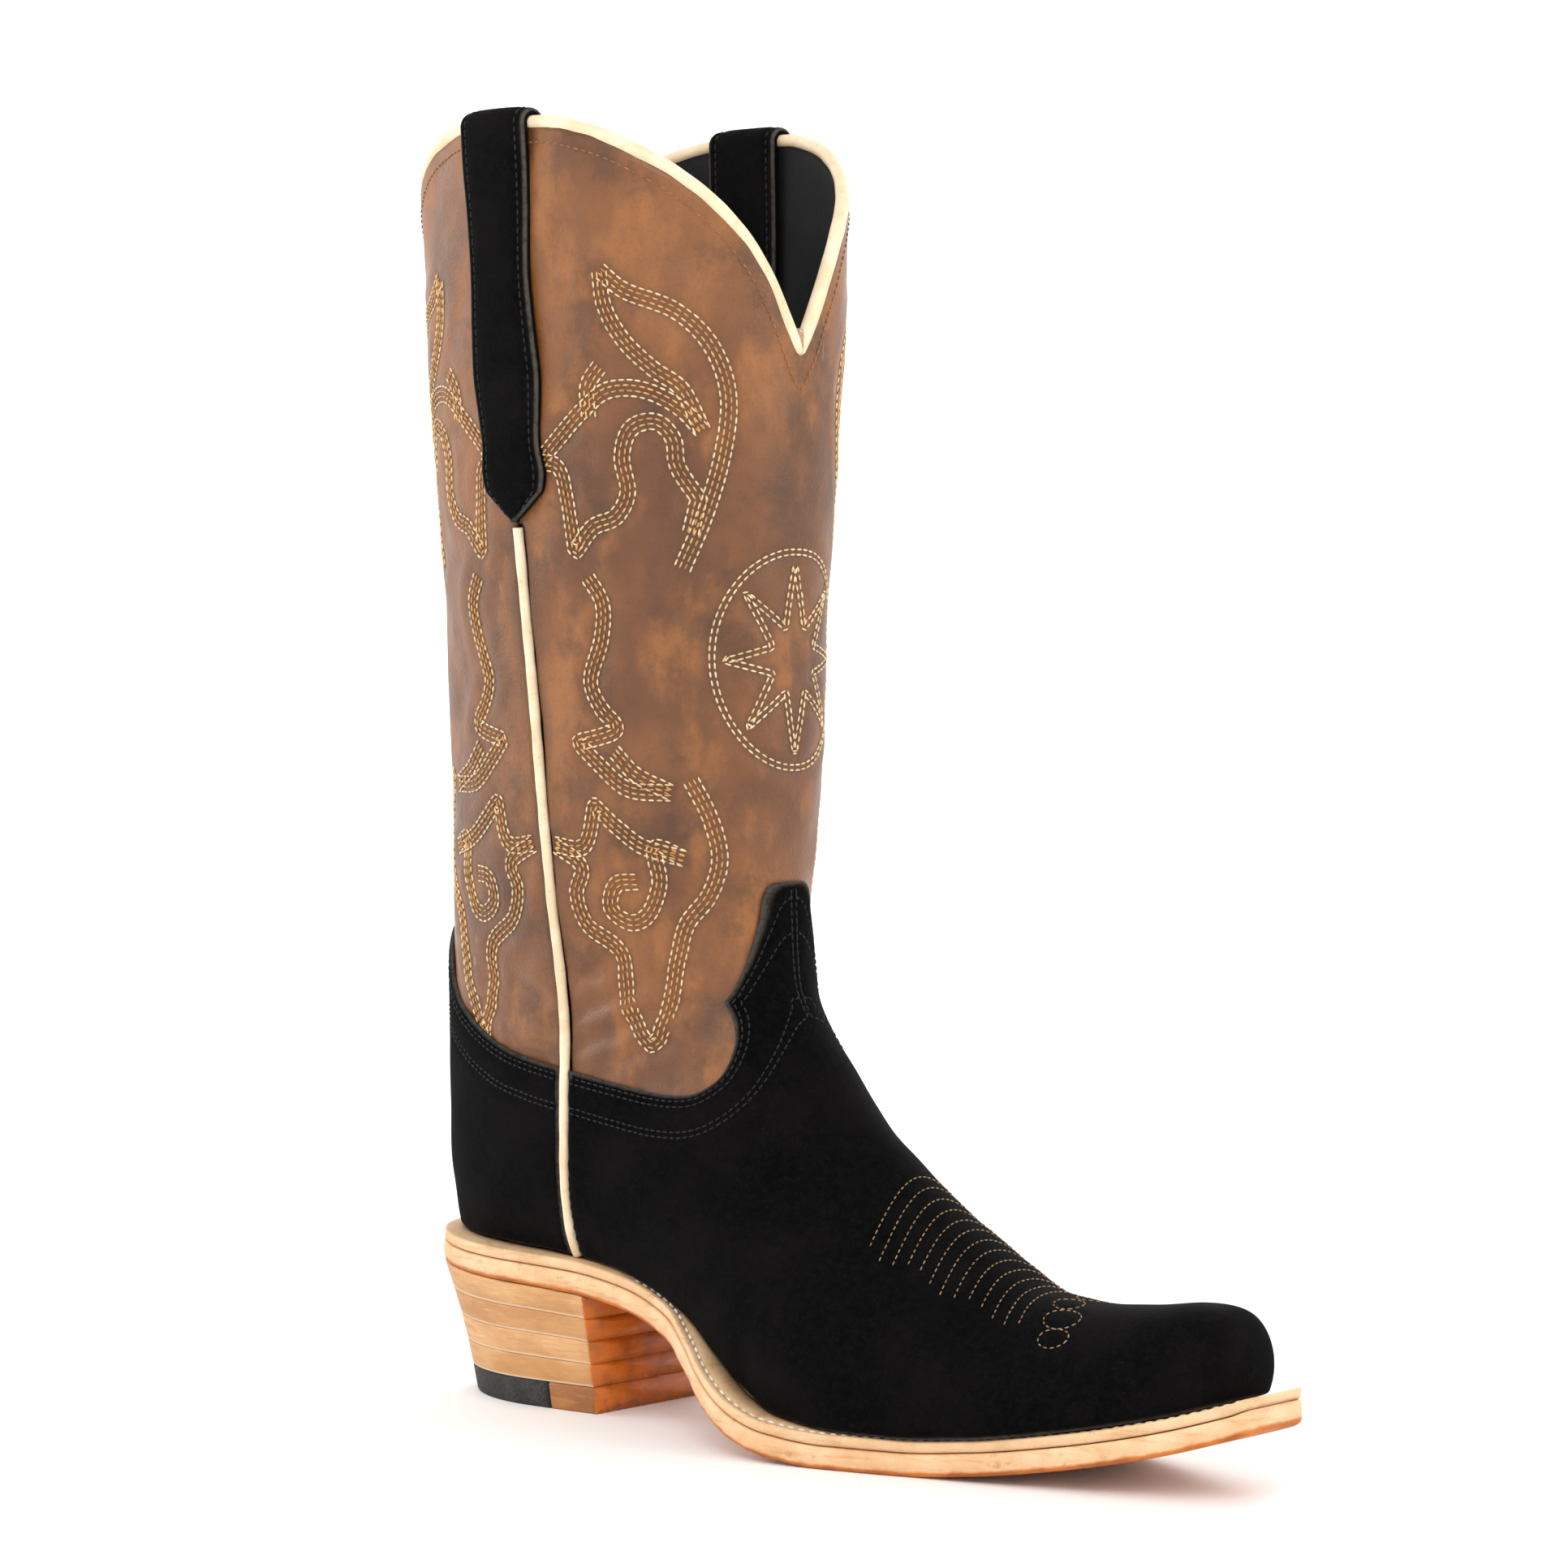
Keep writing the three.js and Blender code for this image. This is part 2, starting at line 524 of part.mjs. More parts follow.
put("vamp", outerShell.intersect(front).intersect(underVamp(0)), "#15140f", 0.95);
put("heel_counter", outerShell.intersect(back).intersect(underCounter(0)), "#15140f", 0.95);
put("front_shaft_panel", midShell.intersect(front).subtract(underVamp(LAP)), "#7a5230", 0.6);
put("back_shaft_panel", midShell.intersect(back).subtract(underCounter(LAP)), "#7a5230", 0.6);
const midVamp = midShell.intersect(front).intersect(underVamp(LAP, GAP));
put("vamp_interlining", midVamp.intersect(behind(puffX - GAP, puffX - GAP)), "#b9a583", 0.9);
put("toe_puff", midVamp.intersect(ahead(puffX, puffX)), "#cbb994", 0.8);
put("heel_stiffener", midShell.intersect(back).intersect(underCounter(LAP, GAP)), "#a98b5e", 0.8);
const split = plate([[-90, -60], [400, -60], [400, 84 + HZ], [-90, 84 + HZ]]),
  splitGap = plate([[-90, -60], [400, -60], [400, 84 + HZ + GAP], [-90, 84 + HZ + GAP]]);
const liningFront = liningShell.intersect(ahead(SEAM + 0.15, SEAM + 0.15)),
  liningBack = liningShell.intersect(behind(SEAM - 0.15, SEAM - 0.15));
put("front_shaft_lining", liningFront.subtract(splitGap), "#1d1c1b", 0.6);
put("back_shaft_lining", liningBack.subtract(splitGap), "#1d1c1b", 0.6);
put("vamp_lining", liningFront.intersect(split), "#8a7350", 0.8);
put("heel_lining", liningBack.intersect(split), "#8a7350", 0.8);
put("insole", board(GAP, GAP + 2.4), "#b08a5a", 0.8);
put("sock_liner", board(2 * GAP + 2.4, 2 * GAP + 3.8), "#6f5436", 0.7);
put("welt", welt(), "#d2a679", 0.7);
put("cork_filler", filler(), "#a5773f", 0.95);
put("shank_steel", shankStrip(0), "#8d9094", 0.35);
put("outsole", sole(), "#d9a873", 0.6);
for (let k = 0; k < LIFTS; k++) put("heel_lift_" + (k + 1), heelLift(k), "#d5a574", 0.6);
put("heel_cap_rubber", cap().intersect(behind(capSplit - GAP / 2, capSplit - GAP / 2)), "#2b2b2a", 0.9);
put("heel_cap_leather", cap().intersect(ahead(capSplit + GAP / 2, capSplit + GAP / 2)), "#a4713f", 0.6);
NAILS.forEach((p, i) => put("heel_nail_" + (i + 1), nail(1.2, p, CAP_T + 0.5, HEEL_HEIGHT - 2.6), "#8b8478", 0.4));
for (const [side, label] of [[-1, "medial"], [1, "lateral"]]) {
  put("side_piping_" + label, seamBead(side), "#e6cda9", 0.6);
  put("collar_piping_" + label, collarBead(side), "#e6cda9", 0.6);
  put("pull_strap_" + label, strap(side), "#141312", 0.95);
}

export default boot;
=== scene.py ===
import math
import bpy
import numpy as np
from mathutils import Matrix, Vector, kdtree
from mathutils.bvhtree import BVHTree


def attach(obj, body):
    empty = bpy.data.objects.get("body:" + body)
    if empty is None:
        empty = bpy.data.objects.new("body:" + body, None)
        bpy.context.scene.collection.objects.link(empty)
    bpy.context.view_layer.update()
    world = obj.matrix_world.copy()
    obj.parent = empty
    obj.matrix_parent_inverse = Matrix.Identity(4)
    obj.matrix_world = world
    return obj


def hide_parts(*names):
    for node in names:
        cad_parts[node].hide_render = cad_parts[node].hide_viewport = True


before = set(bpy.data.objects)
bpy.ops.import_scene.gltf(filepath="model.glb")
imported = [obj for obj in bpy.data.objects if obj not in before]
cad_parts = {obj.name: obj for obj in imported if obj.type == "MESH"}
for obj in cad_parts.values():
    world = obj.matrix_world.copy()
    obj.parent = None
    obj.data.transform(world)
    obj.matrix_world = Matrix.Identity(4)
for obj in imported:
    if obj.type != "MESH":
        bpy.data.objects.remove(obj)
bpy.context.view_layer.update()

# ---------------------------------------------------------------- camera, light and floor
# The boot stands alone on a plain pale floor under soft studio light. The camera stands at the
# height of the middle of the shaft, in front of the inner side, far off to flatten the view.
EYE = Vector((1.0325, -1.095, 0.254))
AIM = Vector((0.088, 0.0, 0.186))
LENS = 115.0
cam = bpy.data.objects.new("camera", bpy.data.cameras.new("camera"))
bpy.context.collection.objects.link(cam)
cam.location = EYE
cam.rotation_euler = (AIM - EYE).to_track_quat("-Z", "Y").to_euler()
cam.data.lens = LENS
cam.data.clip_end = 50
bpy.context.scene.camera = cam


def lamp(name, place, aim, size, watts, tint=(1, 1, 1)):
    data = bpy.data.lights.new(name, "AREA")
    data.shape, data.size, data.energy, data.color = "DISK", size, watts, tint
    o = bpy.data.objects.new(name, data)
    bpy.context.collection.objects.link(o)
    o.location = place
    o.rotation_euler = (Vector(aim) - Vector(place)).to_track_quat("-Z", "Y").to_euler()


lamp("key_softbox", (0.9, -1.5, 1.7), (0.1, 0, 0.15), 1.3, 15)
lamp("side_softbox", (-1.6, -0.9, 0.9), (0.0, 0, 0.2), 1.0, 9)
lamp("front_strip", (2.0, 0.4, 0.8), (0.1, 0, 0.1), 0.7, 7)
lamp("back_softbox", (-0.5, 1.7, 1.3), (0.05, 0, 0.2), 1.2, 12)


def rgb(hexcode):
    """An sRGB hex colour as linear RGBA."""
    out = []
    for i in (1, 3, 5):
        c = int(hexcode[i:i + 2], 16) / 255
        out.append(c / 12.92 if c <= 0.04045 else ((c + 0.055) / 1.055) ** 2.4)
    return (*out, 1.0)


SMOOTH = {"interpolation_type": "SMOOTHSTEP"}
MIX = {"data_type": "RGBA"}


def add_node(mat, kind, settings=None, out=0, **inputs):
    """Adds a shader node with its settings and inputs, and gives one of its outputs.
    An input is a value or a socket to link. _0 is the first input, and a _ inside a name a space."""
    node = mat.node_tree.nodes.new("ShaderNode" + kind)
    for key, value in (settings or {}).items():
        setattr(node, key, value)
    for key, value in inputs.items():
        socket = node.inputs[int(key[1:]) if key[0] == "_" else key.replace("_", " ")]
        if isinstance(value, bpy.types.NodeSocket):
            mat.node_tree.links.new(value, socket)
        else:
            socket.default_value = value
    return node.outputs[out] if len(node.outputs) else None


def new_material(name):
    """An empty material, and the place on the boot. A noise of 1000 / n has blots n mm across."""
    mat = bpy.data.materials.new(name)
    mat.use_nodes = True
    mat.node_tree.nodes.clear()
    return mat, add_node(mat, "TexCoord", out="Object")


def layer_colours(mat, colour, layers):
    """Lays colours over one another. A layer is a pattern, the two values between which it comes
    in, how much of it shows at most, and its colour."""
    for pattern, low, high, most, over in layers:
        mask = add_node(mat, "MapRange", SMOOTH, Value=pattern, _1=low, _2=high, _4=most)
        colour = add_node(mat, "Mix", MIX, out=2, _0=mask, _6=colour, _7=over)
    return colour


def pile_up(mat, *parts):
    """Patterns added up, each with its weight."""
    total = 0.0
    for pattern, weight in parts:
        total = add_node(mat, "Math", {"operation": "MULTIPLY_ADD"}, _0=pattern, _1=weight, _2=total)
    return total


def finish_material(mat, colour, roughness, height=None, depth_mm=0.1, strength=1.0, **more):
    if height is not None:
        more["Normal"] = add_node(mat, "Bump", Strength=strength, Distance=depth_mm / 1000,
                                  Height=height)
    shader = add_node(mat, "BsdfPrincipled", Base_Color=colour, Roughness=roughness, **more)
    add_node(mat, "OutputMaterial", Surface=shader)
    return mat


# A round paper sweep: flat under the boot, curving up far behind it on every side.
sweep = [(0.0, 0.0), (2.6, 0.0)] + [(2.6 + 1.2 * math.sin(a), 1.2 - 1.2 * math.cos(a))
                                    for a in np.linspace(0.15, math.pi / 2, 10)] + [(3.8, 4.0)]
around = [2 * math.pi * k / 96 for k in range(96)]
floor_mesh = bpy.data.meshes.new("floor")
floor_mesh.from_pydata(
    [(0, 0, 0)] + [(r * math.cos(a), r * math.sin(a), z) for r, z in sweep[1:] for a in around],
    [], [(0, 1 + k, 1 + (k + 1) % 96) for k in range(96)]
    + [(1 + i * 96 + k, 1 + (i + 1) * 96 + k, 1 + (i + 1) * 96 + (k + 1) % 96, 1 + i * 96 + (k + 1) % 96)
       for i in range(len(sweep) - 2) for k in range(96)])
floor_mesh.polygons.foreach_set("use_smooth", [True] * len(floor_mesh.polygons))
floor = bpy.data.objects.new("floor", floor_mesh)
bpy.context.collection.objects.link(floor)
floor_mat, floor_place = new_material("pale_studio_floor")
paper = add_node(floor_mat, "TexNoise", Vector=floor_place, Scale=1000 / 400)
floor_tone = add_node(floor_mat, "Mix", MIX, out=2, _0=paper, _6=rgb("#f7f6f5"), _7=rgb("#f3f2f1"))
# The paper far from the boot is lit by its own lamps, which here is a little light of its own.
away = add_node(floor_mat, "VectorMath", {"operation": "LENGTH"}, out="Value", _0=floor_place)
glow = add_node(floor_mat, "MapRange", SMOOTH, Value=away, _1=0.9, _2=2.9, _4=0.27)
floor_mesh.materials.append(finish_material(floor_mat, floor_tone, 0.7, Emission_Color=(1, 1, 1, 1),
                                            Emission_Strength=glow))
world = bpy.data.worlds.new("studio")
bpy.context.scene.world = world
world.use_nodes = True
world.node_tree.nodes["Background"].inputs[0].default_value = (1, 1, 1, 1)
world.node_tree.nodes["Background"].inputs[1].default_value = 0.9
bpy.context.scene.view_settings.view_transform = "Standard"

# ---------------------------------------------------------------- the last
# The upper is pulled over a wooden last, so every upper piece follows one surface: sections
# fanned from the toe up to the collar. Sizes are in millimetres, as in the boot's own drawing.
UPPER_T, PANEL_T, LINING_T, GAP = 1.6, 1.5, 1.2, 0.3
COLLAR_Z, COLLAR_DIP, COLLAR_R = 376.0, 66.0, 2.1
HEEL_TO_SHAFT, SHAFT_TURN, SHAFT_LEAN = 36, -5.5, 8  # mm, degrees, mm
SEAM, SEAM_TOP, BEAD_R = 31.5, 261.0, 1.55
BESIDE_BEAD = BEAD_R + 0.2
WELT_T, OUTSOLE_T, TOE_W = 3.2, 6.4, 15.5
LAST = np.array([
    [257.7, 34.6, 257.7, 33.9, 0.3, 0, 0.8], [257.0, 43.5, 257, 26, 10, 0.05, 0.8],
    [254.6, 48.6, 254.6, 22, 15.2, 0.1, 0.75], [250, 50.8, 250, 17, 17.6, 0.12, 0.75],
    [240, 50.6, 240, 12, 20.6, 0.16, 0.76], [222, 48.2, 224, 4, 26, 0.2, 0.8],
    [203, 47.2, 207, -2, 31.6, 0.24, 0.84], [185, 49.4, 188, -6, 37.2, 0.28, 0.88],
    [168, 58.6, 166, -8, 42.6, 0.34, 0.92], [151, 69.2, 146, -9, 46.6, 0.4, 0.96],
    [135, 81.2, 122, -6, 47.6, 0.42, 0.98], [121, 93.4, 98, 6, 43.6, 0.4, 0.98],
    [109, 107.3, 72, 21, 38.6, 0.3, 0.96], [100, 117.6, 40, 30, 36, 0.18, 0.94],
    [95, 126, 4, 33, 34.6, 0.08, 0.92], [93.6, 135.5, -28, 38, 34, 0, 0.9],
    [93.2, 144.5, -37.2, 60, 34, -0.04, 0.9], [93.1, 153, -38.6, 84, 34.4, -0.06, 0.9],
    [92.7, 162, -36.9, 109, 35.2, -0.06, 0.9], [93.5, 173, -34.8, 135, 36.8, -0.04, 0.9],
    [95.5, 191, -33.6, 163, 38.8, -0.02, 0.9], [98, 224, -33.2, 205, 41.2, 0, 0.9],
    [101, 258, -34.5, 250, 44, 0, 0.9], [104.3, 290, -36.2, 290, 47, 0, 0.9],
    [107.2, 320, -36.7, 320, 49.5, 0, 0.9], [108.4, 350, -36.2, 350, 51, 0, 0.9],
    [109.2, 385, -35.6, 385, 52, 0, 0.9], [109.8, 410, -35.2, 410, 52.5, 0, 0.9]])
LEVELS = len(LAST) - 1
FEATHER = np.array([
    [-44, 49.5], [-20, 48.2], [0, 47.4], [32, 46], [50, 43.6], [70, 38.2], [89, 29], [102, 21.3],
    [114, 15], [126, 11.6], [145, 9.8], [165, 9.8], [187, 11.5], [213, 15.4], [240, 21.2],
    [262, 27.8], [268, 30]])
CENTRE = np.array([[-40, 0], [40, 0], [90, -1.8], [130, -2.6], [200, -4], [262, -6], [268, -6.2]])
DOME = np.array([[-11, 1.31], [0, 1], [11, 0.69], [20, 0.5], [31, 0.34], [45, 0.19], [64, 0.05],
                 [77, 0.005], [90, 0]])


def soft(rows, x):
    """The table as a smooth curve with no overshoot."""
    rows = np.asarray(rows, float)
    xs, ys = rows[:, 0], rows[:, 1]
    d = np.diff(ys) / np.diff(xs)
    m = np.zeros(len(xs))
    same = d[:-1] * d[1:] > 0
    m[1:-1] = np.where(same, 2 * d[:-1] * d[1:] / np.where(same, d[:-1] + d[1:], 1), 0)
    x = np.clip(np.asarray(x, float), xs[0], xs[-1])
    i = np.clip(np.searchsorted(xs, x) - 1, 0, len(xs) - 2)
    h = xs[i + 1] - xs[i]
    t = (x - xs[i]) / h
    return ((2 * t**3 - 3 * t**2 + 1) * ys[i] + (t**3 - 2 * t**2 + t) * h * m[i]
            + (-2 * t**3 + 3 * t**2) * ys[i + 1] + (t**3 - t**2) * h * m[i + 1])


def smooth(a, b, v):
    t = np.clip((np.asarray(v, float) - a) / (b - a), 0, 1)
    return t * t * (3 - 2 * t)


def feather(x):
    return soft(FEATHER, x)


def base(s, phi):
    """A point of the last: s counts its sections from the toe, phi is 0 in front."""
    s, phi = np.broadcast_arrays(np.asarray(s, float), np.asarray(phi, float))
    i = np.clip(np.floor(s).astype(int), 0, LEVELS - 1)
    t = (s - i)[..., None]
    a, b, c, d = (LAST[np.clip(i + k, 0, LEVELS)] for k in (-1, 0, 1, 2))
    q = b + 0.5 * t * (c - a + t * (2 * a - 5 * b + 4 * c - d + t * (3 * (b - c) + d - a)))
    tx, tz, bx, bz, w, low, box = (q[..., k] for k in range(7))
    cosine, sine = np.cos(phi), np.sin(phi)
    side = np.abs(sine) ** box * (1 - low * cosine) / (1 + low * low * 0.62)
    u = (1 - cosine) / 2
    return np.stack([tx + (bx - tx) * u, np.sign(sine) * w * side, tz + (bz - tz) * u], -1)


def skin(s, phi, off):
    """The last grown outwards by off; the suede parts lie over the leather below the ankle."""
    s, phi = np.broadcast_arrays(np.asarray(s, float), np.asarray(phi, float))
    u = base(np.minimum(s + 0.02, LEVELS), phi) - base(np.maximum(s - 0.02, 0), phi)
    v = base(s, phi + 0.03) - base(s, phi - 0.03)
    n = np.cross(u, v)
    n /= -np.linalg.norm(n, axis=-1, keepdims=True)
    inset = (UPPER_T + GAP) * (1 - smooth(16.5, 19, s))
    return base(s, phi) + n * (off - inset)[..., None]


def level_at(z, phi):
    z, phi = np.broadcast_arrays(np.asarray(z, float), np.asarray(phi, float))
    a, b = np.full(z.shape, 15.0), np.full(z.shape, float(LEVELS))
    for _ in range(24):
        m = (a + b) / 2
        below = base(m, phi)[..., 2] < z
        a, b = np.where(below, m, a), np.where(below, b, m)
    return (a + b) / 2


def collar(phi):
    """Height of the collar bead's centre."""
    d = np.abs((np.degrees(phi) + 180) % 360 - 180)
    return COLLAR_Z - COLLAR_DIP * soft(DOME, np.where(d > 90, 180 - d, d))


def rim_drop(phi, gap):
    step = np.where(np.sin(2 * phi) >= 0, 0.05, -0.05)
    p = base(level_at(collar(phi), phi), phi)
    q = base(level_at(collar(phi + step), phi + step), phi + step)
    run = np.maximum(np.hypot(q[..., 0] - p[..., 0], q[..., 1] - p[..., 1]), 0.01)
    return gap * np.hypot(1, (q[..., 2] - p[..., 2]) / run)


def bend(p):
    """The foot's curve, and the shaft's turn and lean over the foot, then metres."""
    p = np.array(p, float)
    x, z = p[..., 0] - HEEL_TO_SHAFT, p[..., 2]
    y = p[..., 1] + soft(CENTRE, p[..., 0]) * (1 - smooth(90, 150, z))
    turn = np.radians(SHAFT_TURN) * smooth(100, 330, z)
    back = SHAFT_LEAN * np.clip((z - 110) / 266, 0, 1) ** 1.2
    return np.stack([HEEL_TO_SHAFT - back + x * np.cos(turn) - y * np.sin(turn),
                     x * np.sin(turn) + y * np.cos(turn), z], -1) / 1000


def spline(points, n):
    """n points along a smooth curve through the given ones, evenly spread."""
    p = np.asarray(points, float)
    q = np.vstack([2 * p[0] - p[1], p, 2 * p[-1] - p[-2]])
    out = []
    for i in range(1, len(q) - 2):
        t = np.linspace(0, 1, 24, endpoint=False)[:, None]
        a, b, c, d = q[i - 1], q[i], q[i + 1], q[i + 2]
        out.append(b + 0.5 * t * (c - a + t * (2 * a - 5 * b + 4 * c - d + t * (3 * (b - c) + d - a))))
    return evenly(np.vstack(out + [p[-1:]]), n)


def evenly(p, n):
    d = np.concatenate([[0], np.cumsum(np.linalg.norm(np.diff(p, axis=0), axis=1))])
    t = np.linspace(0, d[-1], n)
    return np.stack([np.interp(t, d, p[:, k]) for k in range(p.shape[1])], -1)


def line_distance(p, line):
    """Distance of points to a polyline in the same plane, and the side: positive on its right."""
    best = np.full(len(p), 1e9)
    side = np.ones(len(p))
    for a, b in zip(line[:-1], line[1:]):
        ab = b - a
        t = np.clip(((p - a) @ ab) / max(ab @ ab, 1e-9), 0, 1)
        d = p - (a + t[:, None] * ab)
        r = np.hypot(d[:, 0], d[:, 1])
        cross = ab[0] * (p[:, 1] - a[1]) - ab[1] * (p[:, 0] - a[0])
        near = r < best - 1e-7
        best = np.where(near, r, best)
        side = np.where(near, np.where(cross < 0, 1.0, -1.0), side)
    return best, side


def put_object(name, verts, faces, mat, nodes, attributes=None):
    """A finished mesh piece: its CAD solids, and the body it rides on."""
    mesh = bpy.data.meshes.new(name)
    mesh.from_pydata([tuple(v) for v in verts], [], [tuple(int(i) for i in f) for f in faces])
    mesh.polygons.foreach_set("use_smooth", [True] * len(mesh.polygons))
    for key, values in (attributes or {}).items():
        column = mesh.attributes.new(key, "FLOAT", "POINT")
        column.data.foreach_set("value", np.asarray(values, np.float32))
    mesh.materials.append(mat)
    mesh.update()
    o = bpy.data.objects.new(name, mesh)
    bpy.context.collection.objects.link(o)
    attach(o, "root")
    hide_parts(*nodes)
    return o


def clip(data, tris, field):
    """Cuts triangles along field = 0 and keeps the positive side. data holds a row for each point."""
    f = field.copy()
    f[np.abs(f) < 1e-4] = 1e-4
    inside = f > 0
    count = inside[tris].sum(1)
    kept = [tris[count == 3]]
    rows, made = [data], {}
    total = len(data)

    def cut(i, j):
        nonlocal total
        key = (i, j) if i < j else (j, i)
        if key not in made:
            t = f[i] / (f[i] - f[j])
            rows.append((data[i] + t * (data[j] - data[i]))[None])
            made[key] = total
            total += 1
        return made[key]

    extra = []
    for tri in tris[(count == 1) | (count == 2)]:
        poly = []
        for k in range(3):
            i, j = int(tri[k]), int(tri[(k + 1) % 3])
            if inside[i]:
                poly.append(i)
            if inside[i] != inside[j]:
                poly.append(cut(i, j))
        extra += [(poly[0], poly[k], poly[k + 1]) for k in range(1, len(poly) - 1)]
    tris = np.vstack(kept + ([np.array(extra)] if extra else []))
    data = np.vstack(rows)
    used = np.unique(tris)
    back = np.full(len(data), -1)
    back[used] = np.arange(len(used))
    return data[used], back[tris]


def sheet_of_leather(s_rows, phis, closed, fields, outer, thick, roll, relief=None):
    """A cut, skived and lasted piece: a wall of leather between outer and outer - thick.
    fields(P) gives one signed distance per cut line; the edge is rounded over by roll."""
    S, PHI = s_rows, np.broadcast_to(phis, s_rows.shape)
    rows, cols = S.shape
    data = np.stack([S.ravel(), PHI.ravel()], -1)
    i, j = np.meshgrid(np.arange(rows - 1), np.arange(cols if closed else cols - 1), indexing="ij")
    a, b = i * cols + j, i * cols + (j + 1) % cols
    c, d = b + cols, a + cols
    data = np.hstack([data, np.cos(data[:, 1:]), np.sin(data[:, 1:])])
    tris = np.concatenate([np.stack([a, b, c], -1).reshape(-1, 3),
                           np.stack([a, c, d], -1).reshape(-1, 3)])

    def angle(q):
        return np.arctan2(q[:, 3], q[:, 2])

    for k in range(len(fields)):
        data, tris = clip(data, tris, fields[k](skin(data[:, 0], angle(data), outer)))
    P = skin(data[:, 0], angle(data), outer)
    edge = np.full(len(P), 99.0)
    for field in fields:
        edge = np.minimum(edge, np.maximum(field(P), 0))
    fall = np.clip(1 - edge / roll, 0, 1)
    drop = 0.75 * min(roll, thick) * (1 - np.sqrt(np.maximum(1 - fall**2, 0)))
    lift = relief(P, angle(data), edge) if relief is not None else 0
    outside = skin(data[:, 0], angle(data), outer - drop + lift)
    within = skin(data[:, 0], angle(data), np.full(len(P), outer - thick))
    edges = {}
    for t in tris:
        for k in range(3):
            e = (int(t[k]), int(t[(k + 1) % 3]))
            if edges.pop((e[1], e[0]), None) is None:
                edges[e] = True
    n = len(P)
    walls = []
    for p, q in edges:
        walls += [(q, p, p + n), (q, p + n, q + n)]
    verts = bend(np.vstack([outside, within]))
    faces = np.vstack([tris, tris[:, ::-1] + n, np.array(walls)])
    return verts, outward(verts, faces), np.concatenate([edge, edge]), outside


def outward(verts, faces):
    v = verts[faces]
    if np.einsum("ij,ij->i", v[:, 0], np.cross(v[:, 1], v[:, 2])).sum() < 0:
        return faces[:, ::-1]
    return faces


VAMP_LINE = np.vstack([
    spline([[31.5, 102], [50.7, 99.2], [66, 97.4], [77, 97.6], [83.2, 100.2], [87, 104.6], [88, 111.4],
            [86.6, 118], [83.6, 124]], 90),
    spline([[85.2, 126.4], [87.8, 134], [89.9, 144], [91.6, 155], [93.4, 158.6]], 90)[::3],
    [[140, 158.6]]])
COUNTER_LINE = np.vstack([
    spline([[31.5, 102], [14.9, 104.5], [1.9, 107.7], [-11, 113.5], [-19.6, 119.6], [-25, 125.5],
            [-29.9, 135], [-33.6, 141], [-38, 143.5]], 90),
    [[-80, 143.5]]])


def below_vamp_line(P, shift=0.0):
    d, side = line_distance(P[:, [0, 2]], VAMP_LINE)
    return d * side - shift


def below_counter_line(P, shift=0.0):
    d, side = line_distance(P[:, [0, 2]], COUNTER_LINE)
    return -d * side - shift


def above_welt(P):
    return P[:, 2] - feather(P[:, 0]) - GAP


def seam_edge(P):
    return np.where(P[:, 2] < SEAM_TOP, SEAM + BESIDE_BEAD, SEAM + 0.1)


# ---------------------------------------------------------------- vamp and heel counter
# Black suede: the split side of a hide, brushed to a short nap, so it swallows light and shows
# faint mottling where the nap lies two ways. Cut edges show a paler fibre and are rolled over.
def suede(name, edge_light=1.0):
    mat, place = new_material(name)
    nap, speck, brushed, hair = (
        add_node(mat, "TexNoise", Vector=place, Scale=1000 / mm, Detail=detail, Roughness=gain)
        for mm, detail, gain in ((0.9, 3, 0.7), (2.2, 4, 0.75), (26, 3, 0.55), (0.55, 1, 0.5)))
    colour = layer_colours(mat, rgb("#030303"), [
        (speck, 0.38, 0.68, 1.0, rgb("#090808")), (brushed, 0.42, 0.66, 0.55, rgb("#0e0c0c")),
        (hair, 0.64, 0.74, 0.35, rgb("#211f1d"))])
    rim = add_node(mat, "Attribute", {"attribute_name": "edge_mm"}, out="Fac")
    at_edge = add_node(mat, "MapRange", SMOOTH, Value=rim, _1=1.3, _2=0.1, _4=edge_light)
    fray = add_node(mat, "MapRange", SMOOTH, Value=speck, _1=0.3, _2=0.6, _3=0.4, _4=0.9)
    worn = add_node(mat, "Math", {"operation": "MULTIPLY"}, _0=at_edge, _1=fray)
    colour = add_node(mat, "Mix", MIX, out=2, _0=worn, _6=colour, _7=rgb("#4a4540"))
    height = pile_up(mat, (nap, 0.7), (speck, 0.6))
    return finish_material(mat, colour, 0.93, height, 0.35, 0.7, Sheen_Weight=0.01,
                           Sheen_Roughness=0.5, Specular_IOR_Level=0.04)


black_suede = suede("black_suede")
DEG = math.pi / 180


def tree_of(points):
    tree = kdtree.KDTree(len(points))
    for i, p in enumerate(points):
        tree.insert(Vector(p), i)
    tree.balance()
    return tree


def stroke_relief(points, reach, depth, puff):
    """Stitching pulls leather down along its line and lets it puff up beside it."""
    tree = tree_of(points)

    def relief(P):
        d = np.array([tree.find(Vector(p))[2] for p in P])
        return -depth * np.exp(-(d / 1.1) ** 2) + puff * np.exp(-((d - reach) / (0.6 * reach)) ** 2)
    return relief


# A fine grid over one side of the last, to look up which point of it lies at (x, z).
GRID_S, GRID_PHI = (g.ravel() for g in np.meshgrid(
    np.linspace(8, LEVELS - 0.5, 360), np.linspace(4, 176, 260) * DEG, indexing="ij"))
SIDE_TREE = tree_of(base(GRID_S, GRID_PHI)[:, [0, 2, 2]] * np.array([1, 1, 0]))


